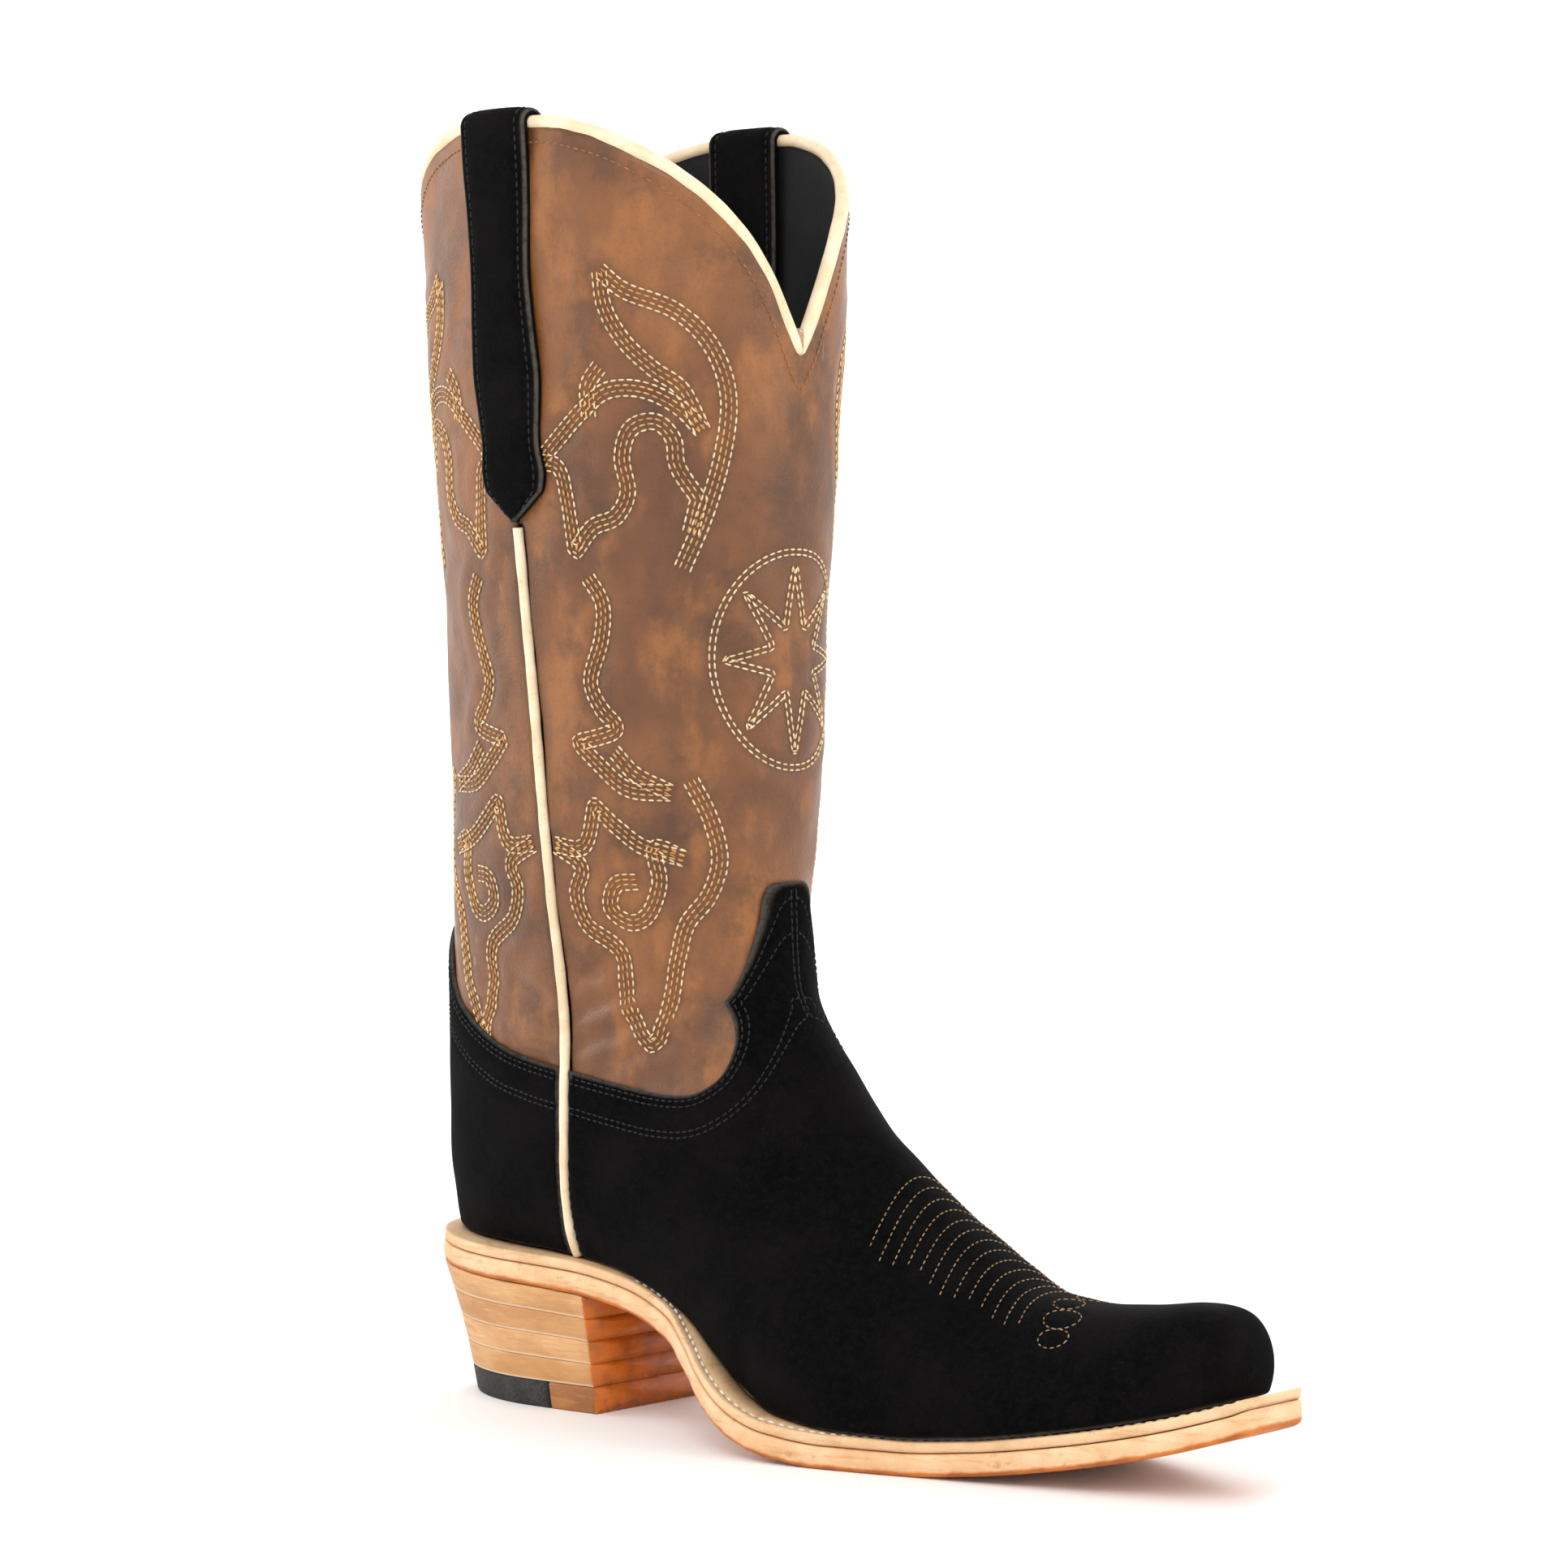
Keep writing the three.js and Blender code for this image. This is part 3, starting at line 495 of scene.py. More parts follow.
def on_side(xz, side=1.0):
    """(s, phi) of the near or far half of the last at a side-view point."""
    k = np.array([SIDE_TREE.find(Vector((x, z, 0)))[1] for x, z in xz])
    s, phi = GRID_S[k], GRID_PHI[k]
    for _ in range(3):
        p, u, v = base(s, phi), base(s + 0.01, phi), base(s, phi + 0.01)
        a, c = ((u - p)[:, i] / 0.01 for i in (0, 2))
        b, d = ((v - p)[:, i] / 0.01 for i in (0, 2))
        det = a * d - b * c
        det = np.where(np.abs(det) < 1e-3, 1e-3, det)
        ex, ez = xz[:, 0] - p[:, 0], xz[:, 1] - p[:, 2]
        s = np.clip(s + np.clip((ex * d - ez * b) / det, -0.2, 0.2), 0.2, LEVELS - 0.1)
        phi = np.clip(phi + np.clip((a * ez - c * ex) / det, -0.1, 0.1), 0.02, math.pi - 0.02)
    return s, phi * side


def edge_line(line, inward):
    """A line parallel to a cut edge in the side view, moved inward by mm."""
    t = np.gradient(line, axis=0)
    t /= np.linalg.norm(t, axis=1, keepdims=True) + 1e-9
    return evenly(line + np.stack([t[:, 1], -t[:, 0]], -1) * inward, 160)


vamp_cut = VAMP_LINE[:-1]
counter_cut = COUNTER_LINE[:-1][:80]


def rows_beside(line, sign):
    """Double rows at the edge and further in, without the loops an offset line makes in a notch."""
    rows = []
    for d in (1.8, 3.4, 10.5, 12.1):
        row = edge_line(line, sign * d)
        rows.append(row[line_distance(row, line)[0] > d - 0.3])
    return rows


VAMP_ROWS, COUNTER_ROWS = rows_beside(vamp_cut, 1), rows_beside(counter_cut, -1)


def rows_on_boot(rows, off):
    out = []
    for row in rows:
        for side in (1.0, -1.0):
            s, phi = on_side(row, side)
            out.append(skin(s, phi, off))
    return out


vamp_seams = rows_on_boot([r[(r[:, 0] > SEAM + 2.5)] for r in VAMP_ROWS], UPPER_T + GAP)
counter_seams = rows_on_boot([r[(r[:, 0] < SEAM - 2.5)] for r in COUNTER_ROWS], UPPER_T + GAP)

# The toe stitching: thirteen tan rows across the vamp, closed by small loops towards the toe.
toe_rows = []
for k in range(13):
    s = 9.55 - 0.235 * k
    half_angle = (50 - 0.9 * k + 3 * math.sin(k * 1.3)) * DEG
    phi = np.linspace(-half_angle, half_angle, 60)
    toe_rows.append(skin(s + 0.16 * np.cos(phi * 2.1) - 0.1, phi, UPPER_T + GAP))
for side in (1, -1):
    for k, (mid, wide, deep) in enumerate([(0.17, 0.15, 0.5), (0.5, 0.17, 0.62), (0.8, 0.13, 0.5)]):
        t = np.linspace(0, 2 * math.pi, 50)
        phi = side * (mid + wide * np.sin(t))
        toe_rows.append(skin(6.45 - deep * (1 - np.cos(t)) / 2 - 0.25 * k * 0.5, phi, UPPER_T + GAP))

vamp_relief_at = stroke_relief(np.vstack(vamp_seams + toe_rows), 2.4, 0.22, 0.06)
counter_relief_at = stroke_relief(np.vstack(counter_seams), 2.4, 0.3, 0.12)


def hand(P, size, seed):
    """Smooth unevenness of a hand-lasted upper, about size mm across."""
    q = P / size * 2 * math.pi
    return (np.sin(q[:, 0] + 1.3 * np.sin(q[:, 1] * 0.7 + seed)) * np.sin(q[:, 2] * 0.8 + seed * 1.7)
            + 0.5 * np.sin(q[:, 0] * 1.7 - q[:, 2] * 1.3 + seed * 2.1))


def vamp_relief(P, phi, edge):
    folds = 0.5 * np.exp(-((P[:, 0] - 112) / 16) ** 2) * np.sin(P[:, 0] * 0.45 + P[:, 1] * 0.05)
    folds *= smooth(70, 40, P[:, 2]) * smooth(24, 34, np.abs(P[:, 1]))
    return vamp_relief_at(P) + 0.16 * hand(P, 38, 0.4) + folds * 0.35


ring = np.linspace(-math.pi, math.pi, 240, endpoint=False)
vamp_s = np.concatenate([np.linspace(0, 3, 34)[:-1], np.linspace(3, 19.4, 175)])[:, None] * np.ones(240)
verts, faces, edge, _ = sheet_of_leather(
    vamp_s, ring, True,
    [above_welt, lambda P: P[:, 0] - SEAM - BESIDE_BEAD, below_vamp_line],
    UPPER_T + GAP, UPPER_T, 1.5, vamp_relief)
vamp = put_object("vamp_suede", verts, faces, black_suede, ["vamp"], {"edge_mm": edge})
counter_s = np.linspace(11, 19.4, 150)[:, None] * np.ones(200)
counter_phi = np.linspace(60, 300, 200) * DEG
verts, faces, edge, _ = sheet_of_leather(
    counter_s, counter_phi, False,
    [above_welt, lambda P: SEAM - BESIDE_BEAD - P[:, 0], below_counter_line],
    UPPER_T + GAP, UPPER_T, 1.5,
    lambda P, phi, e: counter_relief_at(P) + 0.12 * hand(P, 34, 2.0))
counter = put_object("heel_counter_suede", verts, faces, black_suede, ["heel_counter"],
                     {"edge_mm": edge})

# ---------------------------------------------------------------- shaft panels
# Brown pull-up leather, waxed full grain: the wax moves as the hide is pulled over the last, so it
# mottles from umber to tan, keeps pale scratches and rubs, and has a low uneven gloss.


def pull_up_leather(name):
    mat, place = new_material(name)
    cloud, wax, grain, lumps = (
        add_node(mat, "TexNoise", Vector=place, Scale=1000 / mm, Detail=detail, Roughness=gain)
        for mm, detail, gain in ((58, 4, 0.6), (22, 5, 0.7), (1.1, 4, 0.7), (7, 4, 0.65)))
    drawn = add_node(mat, "Mapping", Vector=place, Scale=(1.0, 1.0, 0.55))
    pull = add_node(mat, "TexNoise", Vector=drawn, Scale=1000 / 15, Detail=5, Roughness=0.62)
    colour = layer_colours(mat, rgb("#583317"), [
        (cloud, 0.34, 0.66, 1.0, rgb("#7d4c23")), (pull, 0.46, 0.7, 0.7, rgb("#965f2e")),
        (wax, 0.5, 0.66, 0.5, rgb("#3d2512")), (grain, 0.5, 0.75, 0.3, rgb("#432813"))])
    # Scratches: long thin crests of a stretched noise, bent a little and kept in few places.
    for seed, stretch, tilt in ((0.3, (1, 1, 0.16), 0.5), (3.1, (1, 1, 0.2), -0.8)):
        sway = add_node(mat, "TexNoise", out="Color", Vector=place, Scale=26.0, Detail=1.0)
        curved = add_node(mat, "VectorMath", {"operation": "MULTIPLY_ADD"}, _0=sway,
                          _1=(0.02, 0.02, 0.02), _2=place)
        turned = add_node(mat, "Mapping", Vector=curved, Location=(seed, seed, seed),
                          Rotation=(tilt, tilt * 0.6, 0), Scale=stretch)
        line = add_node(mat, "TexNoise", Vector=turned, Scale=420.0, Detail=1.0, Roughness=0.4)
        where = add_node(mat, "TexNoise", Vector=turned, Scale=1000 / 55, Detail=1)
        crest = add_node(mat, "MapRange", SMOOTH, Value=line, _1=0.7, _2=0.78)
        patch = add_node(mat, "MapRange", SMOOTH, Value=where, _1=0.6, _2=0.7, _4=0.4)
        scratch = add_node(mat, "Math", {"operation": "MULTIPLY"}, _0=crest, _1=patch)
        colour = add_node(mat, "Mix", MIX, out=2, _0=scratch, _6=colour, _7=rgb("#b98a62"))
    # Painted shade: the panel is darkened within 6 mm of its cut edges, beside the beads and under the
    # vamp and the counter.
    rim = add_node(mat, "Attribute", {"attribute_name": "edge_mm"}, out="Fac")
    colour = layer_colours(mat, colour, [(rim, 6, 0.4, 0.45, rgb("#3b2413"))])
    # Painted shade: the leather is darkened within about 1.5 mm of the stitch rows, where it dips into
    # the stitch grooves.
    sewn = add_node(mat, "Attribute", {"attribute_name": "sewn"}, out="Fac")
    stitch_groove_shade = add_node(mat, "Math", {"operation": "MULTIPLY"}, _0=sewn, _1=0.42)
    colour = add_node(mat, "Mix", MIX, out=2, _0=stitch_groove_shade, _6=colour, _7=rgb("#4a2d16"))
    vein = add_node(mat, "TexVoronoi", {"feature": "DISTANCE_TO_EDGE"}, Vector=place, Scale=620.0)
    cell = add_node(mat, "MapRange", SMOOTH, Value=vein, _1=0.0, _2=0.25)
    gloss = add_node(mat, "MapRange", SMOOTH, Value=pull, _1=0.35, _2=0.7, _3=0.36, _4=0.56)
    height = pile_up(mat, (cell, 0.5), (grain, 0.8), (lumps, 2.2))
    return finish_material(mat, colour, gloss, height, 0.16, 0.55, Specular_IOR_Level=0.42,
                           Coat_Weight=0.08, Coat_Roughness=0.35)


brown_leather = pull_up_leather("brown_pull_up_leather")

# Each panel carries a flame-and-leaf pattern, sewn in four rows of thread. Its lines are given as
# (degrees from the panel's middle, height in mm) for one half, and mirrored for the other.
PATTERN = {
    "flame": [(61, 333), (54, 327), (40, 321), (30, 311), (25, 297), (27, 281), (33, 264), (41, 248)],
    "flame_hollow": [(61, 333), (60, 323), (55, 313), (47, 305), (39, 299), (33, 287)],
    "branch": [(33, 287), (40, 294), (50, 299), (60, 299), (67, 294), (75, 286), (82, 279)],
    "leaf": [(82, 279), (76, 277), (74, 267), (73, 253), (67, 260), (60, 263), (56, 270), (57, 280),
             (54, 288), (47, 290), (42, 285), (41, 277), (35, 268), (38, 258)],
    "leaf_hook": [(62, 306), (66, 300), (66, 291)],
    "column": [(70, 246), (66, 238), (67, 228), (71, 216), (68, 208), (64, 202), (76, 198), (70, 192),
               (61, 185), (47, 184)],
    "column_inner": [(47, 184), (58, 189), (65, 196)],
    "root": [(41, 188), (34, 176), (31, 165), (35, 155), (44, 146), (48, 136), (52, 123), (60, 109)],
    "root_side": [(60, 109), (65, 123), (66, 137), (76, 145), (79, 154), (77, 162), (86, 168)],
    "crown": [(86, 168), (76, 168), (72, 180), (64, 173), (56, 168), (43, 165)],
    "curl": [(43, 165), (53, 168), (52, 158), (56, 149), (62, 146), (68, 150), (66, 157), (59, 158)],
}
SPIKES = {"leaf": (0, 3, 12), "column": (6, 9), "crown": (0, 2, 5), "root_side": (6,)}


def pattern_line(points, corners):
    """A smooth line with sharp corners at the given points."""
    cuts = sorted({0, len(points) - 1, *corners})
    parts = [spline(points[a:b + 1], 30 * (b - a)) if b - a > 1
             else np.linspace(points[a], points[b], 12)
             for a, b in zip(cuts[:-1], cuts[1:])]
    return np.vstack(parts)


# The middle of the front panel holds a plain eight-point compass star in a ring, and the back a
# diamond, each of two rows.
def star(r_out, r_in, z, n=8):
    return [(r * math.sin(k * math.pi / n), z + r * math.cos(k * math.pi / n))
            for k, r in enumerate([r_out, r_in] * n + [r_out])]


ROW_STEP = 1.55  # mm between rows of thread


def surface_rows(line, offsets, middle):
    """Rows of thread beside a line of (mm round the shaft or degrees, height)."""
    phi = line[:, 0] * DEG
    phi = middle + phi if middle == 0 else middle - phi
    keep = line[:, 1] < collar(phi) - 9
    p = skin(level_at(line[:, 1], phi), phi, 0.0)[keep]
    if len(p) < 6:
        return []
    p = evenly(p, max(int(np.linalg.norm(np.diff(p, axis=0), axis=1).sum() / 0.8), 8))
    t = np.gradient(p, axis=0)
    t /= np.linalg.norm(t, axis=1, keepdims=True)
    axis = np.stack([np.full(len(p), 30.0), np.zeros(len(p)), p[:, 2]], -1)
    n = (p - axis) * np.array([0.5, 1, 0])
    n /= np.linalg.norm(n, axis=1, keepdims=True)
    side = np.cross(n, t)
    return [p + side * o for o in offsets]


def panel_rows(middle):
    """Every row of decorative thread on a panel: a list of (row, which thread)."""
    rows = []
    for mirror in (1, -1):
        for key, points in PATTERN.items():
            line = pattern_line(np.array(points, float), SPIKES.get(key, ()))
            line = line * np.array([mirror, 1])
            offsets = [(i - 1.5) * ROW_STEP for i in range(4)]
            for k, row in enumerate(surface_rows(line, offsets, middle)):
                rows.append((row, (k if mirror > 0 else 3 - k) % 4))
    degrees_per_mm = 1 / 0.95 if middle == 0 else 1 / 1.1
    if middle == 0:
        shapes = [star(27, 10, 222), [(31 * math.sin(a), 222 + 31 * math.cos(a))
                                      for a in np.linspace(0, 2 * math.pi, 60)]]
    else:
        shapes = [[(0, 262), (14, 222), (0, 182), (-14, 222), (0, 262)],
                  [(0, 244), (7, 222), (0, 200), (-7, 222), (0, 244)]]
    for shape in shapes:
        line = np.vstack([np.linspace(a, b, 14) for a, b in zip(shape[:-1], shape[1:])])
        line[:, 0] *= degrees_per_mm
        for k, row in enumerate(surface_rows(line, [-0.5 * ROW_STEP, 0.5 * ROW_STEP], middle)):
            rows.append((row, 3 if k else 0))
    return rows


front_rows, back_rows = panel_rows(0.0), panel_rows(math.pi)


def ankle_folds(P):
    """Where the shaft meets the foot the leather gathers in short soft folds by the side seam."""
    d = P[:, 0] - SEAM
    near = np.exp(-(d / 34) ** 2) * smooth(2, 9, np.abs(d)) * np.exp(-((P[:, 2] - 118) / 15) ** 2)
    wave = np.sin((P[:, 2] - 0.32 * np.abs(d)) * 0.62 + 0.9 * np.sin(d * 0.13))
    return 0.85 * near * (wave + 0.6 * np.sin(P[:, 2] * 0.31 + d * 0.1))


def make_panel(name, node, middle, phis, side_field, cut_field, rows):
    rim = level_at(collar(phis) - rim_drop(phis, COLLAR_R * 0.5), phis)
    t = np.linspace(0, 1, 190)[:, None]
    s_rows = 12.3 + (rim - 12.3) * t
    sewn_points = np.vstack([r for r, _ in rows])
    tree_relief = stroke_relief(sewn_points[::2], 4.6, 0.22, 0.34)

    def relief(P, phi, edge):
        uneven = 0.28 * hand(P, 62, middle + 0.7) + 0.1 * hand(P, 23, middle)
        return tree_relief(P) + ankle_folds(P) + uneven

    verts, faces, edge, outside = sheet_of_leather(s_rows, phis, False, [side_field, cut_field],
                                                   0.0, PANEL_T, 1.0, relief)
    tree = tree_of(sewn_points)
    near = np.array([math.exp(-(tree.find(Vector(p))[2] / 1.5) ** 2) for p in outside])
    put_object(name, verts, faces, brown_leather, [node],
               {"edge_mm": edge, "sewn": np.concatenate([near, near])})


UNDERLAP = 11  # mm of panel under the vamp and the counter
make_panel("front_shaft_leather", "front_shaft_panel", 0.0, np.linspace(-95, 95, 190) * DEG,
           lambda P: P[:, 0] - seam_edge(P), lambda P: UNDERLAP - below_vamp_line(P), front_rows)
make_panel("back_shaft_leather", "back_shaft_panel", math.pi, np.linspace(83, 277, 180) * DEG,
           lambda P: 2 * SEAM - seam_edge(P) - P[:, 0], lambda P: UNDERLAP - below_counter_line(P),
           back_rows)

# ---------------------------------------------------------------- linings and stiffeners
# The shaft is lined with smooth black leather, the foot with undyed leather. Between lining and
# upper sit the toe puff, the heel stiffener and the vamp's interlining, cemented and out of sight.


def lining_leather(name, dark, light, rough):
    mat, place = new_material(name)
    grain, tone, swell = (
        add_node(mat, "TexNoise", Vector=place, Scale=1000 / mm, Detail=detail, Roughness=gain)
        for mm, detail, gain in ((1.3, 3, 0.6), (24, 4, 0.6), (9, 3, 0.5)))
    vein = add_node(mat, "TexVoronoi", {"feature": "DISTANCE_TO_EDGE"}, Vector=place, Scale=700.0)
    cell = add_node(mat, "MapRange", SMOOTH, Value=vein, _1=0.0, _2=0.2)
    colour = layer_colours(mat, rgb(dark), [(tone, 0.35, 0.7, 1.0, rgb(light)),
                                            (grain, 0.55, 0.8, 0.3, rgb(light))])
    height = pile_up(mat, (cell, 0.6), (grain, 1.0), (swell, 1.5))
    return finish_material(mat, colour, rough, height, 0.12, 0.5, Specular_IOR_Level=0.16)


black_lining = lining_leather("black_lining_leather", "#080808", "#121111", 0.75)
tan_lining = lining_leather("undyed_lining_leather", "#7d6647", "#97805d", 0.75)
leatherboard = lining_leather("pressed_leatherboard", "#8f7448", "#b09568", 0.85)
LINING_OUT = -PANEL_T - GAP
LAP_Z = 84.1  # height where the shaft's lining meets the foot's
BOARD_INSET = 12  # mm from the upper's cut edge to the board behind it


def inner_sheet(name, node, mat, s_lo, s_hi, phis, closed, fields, outer, thick, rows=90,
                top=False):
    """A plain sheet between two stations of the last, or up to the collar when top is set."""
    if top:
        rim = level_at(collar(phis) - rim_drop(phis, COLLAR_R * 0.5), phis)
        s_rows = s_lo + (rim - s_lo) * np.linspace(0, 1, rows)[:, None]
    else:
        s_rows = np.linspace(s_lo, s_hi, rows)[:, None] * np.ones(len(phis))
    verts, faces, edge, _ = sheet_of_leather(s_rows, phis, closed, fields, outer, thick, 0.6)
    put_object(name, verts, faces, mat, [node], {"edge_mm": edge})


front_half, back_half = np.linspace(-96, 96, 110) * DEG, np.linspace(82, 278, 110) * DEG
whole = np.linspace(-math.pi, math.pi, 130, endpoint=False)
round_heel = np.linspace(60, 300, 110) * DEG
inner_sheet("front_lining", "front_shaft_lining", black_lining, 11.5, 0, front_half, False,
            [lambda P: P[:, 0] - SEAM - 0.1, lambda P: P[:, 2] - LAP_Z - 0.1],
            LINING_OUT, LINING_T, 110, True)
inner_sheet("back_lining", "back_shaft_lining", black_lining, 11.5, 0, back_half, False,
            [lambda P: SEAM - 0.1 - P[:, 0], lambda P: P[:, 2] - LAP_Z - 0.1],
            LINING_OUT, LINING_T, 110, True)
inner_sheet("foot_lining", "vamp_lining", tan_lining, 0, 14.2, whole, True,
            [above_welt, lambda P: P[:, 0] - SEAM - 0.1, lambda P: LAP_Z - 0.1 - P[:, 2]], LINING_OUT,
            LINING_T)
inner_sheet("heel_seat_lining", "heel_lining", tan_lining, 11, 17.5, round_heel, False,
            [above_welt, lambda P: SEAM - 0.1 - P[:, 0], lambda P: LAP_Z - 0.1 - P[:, 2]], LINING_OUT,
            LINING_T)
inner_sheet("toe_puff_board", "toe_puff", leatherboard, 0, 7.5, whole, True,
            [above_welt, lambda P: P[:, 0] - 202], -0.1, PANEL_T - 0.1, 60)
inner_sheet("interlining", "vamp_interlining", leatherboard, 5.5, 18, whole, True,
            [above_welt, lambda P: 201.7 - P[:, 0], lambda P: P[:, 0] - SEAM - 2,
             lambda P: below_vamp_line(P, BOARD_INSET)], -0.1, PANEL_T - 0.1)
inner_sheet("counter_stiffener", "heel_stiffener", leatherboard, 11, 18,
            round_heel, False,
            [above_welt, lambda P: SEAM - 2 - P[:, 0], lambda P: below_counter_line(P, BOARD_INSET)],
            -0.1, PANEL_T - 0.1)

# ---------------------------------------------------------------- piping
# Cream kid leather folded round a cord: a bead is caught in each side seam, and a larger one is
# rolled over the collar's raw edge, in two lengths that meet in the V at the front and back.


def kid_leather(name):
    mat, place = new_material(name)
    tone, soil, grain, pucker = (
        add_node(mat, "TexNoise", Vector=place, Scale=1000 / mm, Detail=detail, Roughness=gain)
        for mm, detail, gain in ((13, 4, 0.6), (3, 5, 0.7), (2.2, 4, 0.7), (7, 2, 0.5)))
    colour = layer_colours(mat, rgb("#dcc4a0"), [(tone, 0.36, 0.68, 1.0, rgb("#ead8bb")),
                                                 (soil, 0.56, 0.72, 0.5, rgb("#b89468"))])
    height = pile_up(mat, (grain, 1.0), (pucker, 1.4))
    return finish_material(mat, colour, 0.5, height, 0.16, 0.6, Specular_IOR_Level=0.4)


cream_kid = kid_leather("cream_kid_leather")


def rings_to_mesh(rings):
    """Faces of a body made of rings of points, with its two ends closed."""
    n, m = len(rings), len(rings[0])
    verts = np.vstack(rings)
    i, k = np.meshgrid(np.arange(n - 1), np.arange(m), indexing="ij")
    a, b = (i * m + k).ravel(), (i * m + (k + 1) % m).ravel()
    tris = np.vstack([np.stack([a, b, b + m], -1), np.stack([a, b + m, a + m], -1)])
    verts = np.vstack([verts, rings[0].mean(0), rings[-1].mean(0)])
    k = np.arange(m)
    first = np.stack([(k + 1) % m, k, np.full(m, n * m)], -1)
    last = np.stack([(n - 1) * m + k, (n - 1) * m + (k + 1) % m, np.full(m, n * m + 1)], -1)
    return verts, outward(verts, np.vstack([tris, first, last]))


def bead(path, r, sides, up, wobble=0.05):
    t = np.gradient(path, axis=0)
    t /= np.linalg.norm(t, axis=1, keepdims=True)
    u = np.cross(np.array(up, float), t)
    u /= np.linalg.norm(u, axis=1, keepdims=True)
    v = np.cross(t, u)
    q = np.linspace(0, 2 * math.pi, sides, endpoint=False)
    k = np.arange(len(path))[:, None]
    rr = r * (1 + wobble * np.sin(k * 0.37 + q * 2) * np.sin(k * 0.11))
    return [path[i] + (rr[i] * np.cos(q))[:, None] * u[i] + (rr[i] * np.sin(q))[:, None] * v[i]
            for i in range(len(path))]


for side, label in ((-1, "medial"), (1, "lateral")):
    z = np.linspace(float(feather(SEAM)) + 0.3, SEAM_TOP - 1, 260)
    s, phi = on_side(np.stack([np.full(260, SEAM), z], -1))
    path = skin(s, phi, 0.75 - 0.6 * smooth(92, 116, z)) * np.array([1, side, 1])
    verts, faces = rings_to_mesh(bead(path, BEAD_R, 14, (1, 0, 0)))
    put_object("side_bead_" + label, bend(verts), faces, cream_kid, ["side_piping_" + label])
    phi = np.linspace(-3, 183, 330) * DEG
    path = skin(level_at(collar(phi), phi), phi, -PANEL_T / 2 - GAP - LINING_T / 2)
    rings = [np.stack([g[:, 0], np.maximum(g[:, 1], 0.08) * side, g[:, 2]], -1)
             for g in bead(path, COLLAR_R, 18, (0, 0, 1), 0.03)]
    verts, faces = rings_to_mesh(rings)
    put_object("collar_bead_" + label, bend(verts), faces, cream_kid, ["collar_piping_" + label])

# ---------------------------------------------------------------- pull straps
# A doubled band of the same suede, turned under at its edges and sewn 3 mm in along both sides. It
# starts in a point over the side seam, runs over the collar and is sewn down again inside the shaft.
STRAP_HALF = [
    [261.5, 0.5], [264, 3.6], [268, 8.8], [271, 12.2], [276, 13.2], [284, 12.2], [294, 13.2],
    [304, 14.2], [316, 13.5], [334, 12.5], [352, 13.3], [366, 14]]
STRAP_T = 2.4
strap_suede = suede("black_strap_suede", 1.3)
strap_in = COLLAR_R + 0.25
strap_mid = -PANEL_T / 2 - GAP - LINING_T / 2
STRAP_X, STRAP_HALF_W = 35.5, 14.0
INNER_END, END_ROUND = 44, 7.2  # mm below the collar where the inner end starts to round off
strap_stations = []
for z in np.concatenate([np.linspace(261.5, 276, 22), np.linspace(277, 372, 62)]):
    mid_x = STRAP_X - 3.5 * max(1 - (z - 261.5) / 90, 0)  # the point leans back to the side seam
    strap_stations.append(("out", z, float(soft(STRAP_HALF, z)), mid_x))
for a in np.linspace(0, math.pi, 20):
    strap_stations.append(("arc", a, STRAP_HALF_W, STRAP_X))
for d in np.concatenate([np.linspace(3, 44, 30), np.linspace(45, 50, 9)]):
    past = max(d - INNER_END, 0) / END_ROUND
    strap_stations.append(("in", COLLAR_Z - d, STRAP_HALF_W * math.sqrt(max(1 - past ** 2, 0)), STRAP_X))
ACROSS = 25


def strap_points(stations, shares, depth):
    """Points of the strap: shares -1..1 across it, depth mm up from its underside."""
    out = []
    for kind, value, half_width, mid_x in stations:
        x = mid_x + np.asarray(shares) * half_width
        if kind == "arc":
            phi = np.arccos(np.clip((36 - x) / 72, -1, 1))
            zc = collar(phi)
            s, phi = on_side(np.stack([x, zc], -1))
            yc = skin(s, phi, strap_mid)[:, 1]
            q = strap_in + depth
            out.append(np.stack([x, yc + q * math.cos(value), zc + q * math.sin(value)], -1))
            continue
        near = float(smooth(30, 4, COLLAR_Z - value)) if value < COLLAR_Z - 4 else 1.0
        if kind == "in":
            inside = -PANEL_T - LINING_T - 2 * GAP - 0.3
            off = inside * (1 - near) + (strap_mid - strap_in) * near - depth
        else:
            off = (GAP + 0.1) * (1 - near) + (strap_mid + strap_in) * near + depth
        s, phi = on_side(np.stack([x, np.full(len(x), value)], -1))
        p = skin(s, phi, off)
        out.append(np.stack([x, p[:, 1], np.full(len(x), value)], -1))
    return out


shares = np.sin(np.linspace(-1, 1, ACROSS) * math.pi / 2)
swell = STRAP_T * (0.62 + 0.38 * np.sqrt(np.maximum(1 - np.abs(shares) ** 7, 0)))
sewn_dip = 0.45 * np.exp(-((np.abs(shares) - 0.78) / 0.07) ** 2)
under = strap_points(strap_stations, shares, 0.0)
over = strap_points(strap_stations, shares, swell - sewn_dip)
straps = {}
strap_edge = []
for (kind, value, half_width, _x), u, o in zip(strap_stations, under, over):
    e = (1 - np.abs(shares)) * half_width
    strap_edge.append(np.concatenate([np.full(ACROSS, 3.0), e[::-1]]))
for side, label in ((-1, "medial"), (1, "lateral")):
    rings = [np.vstack([u, o[::-1]]) * np.array([1, side, 1]) for u, o in zip(under, over)]
    verts, faces = rings_to_mesh(rings)
    straps[side] = put_object("strap_" + label, bend(verts), faces, strap_suede, ["pull_strap_" + label],
                              {"edge_mm": np.concatenate(strap_edge + [[0, 0]])})

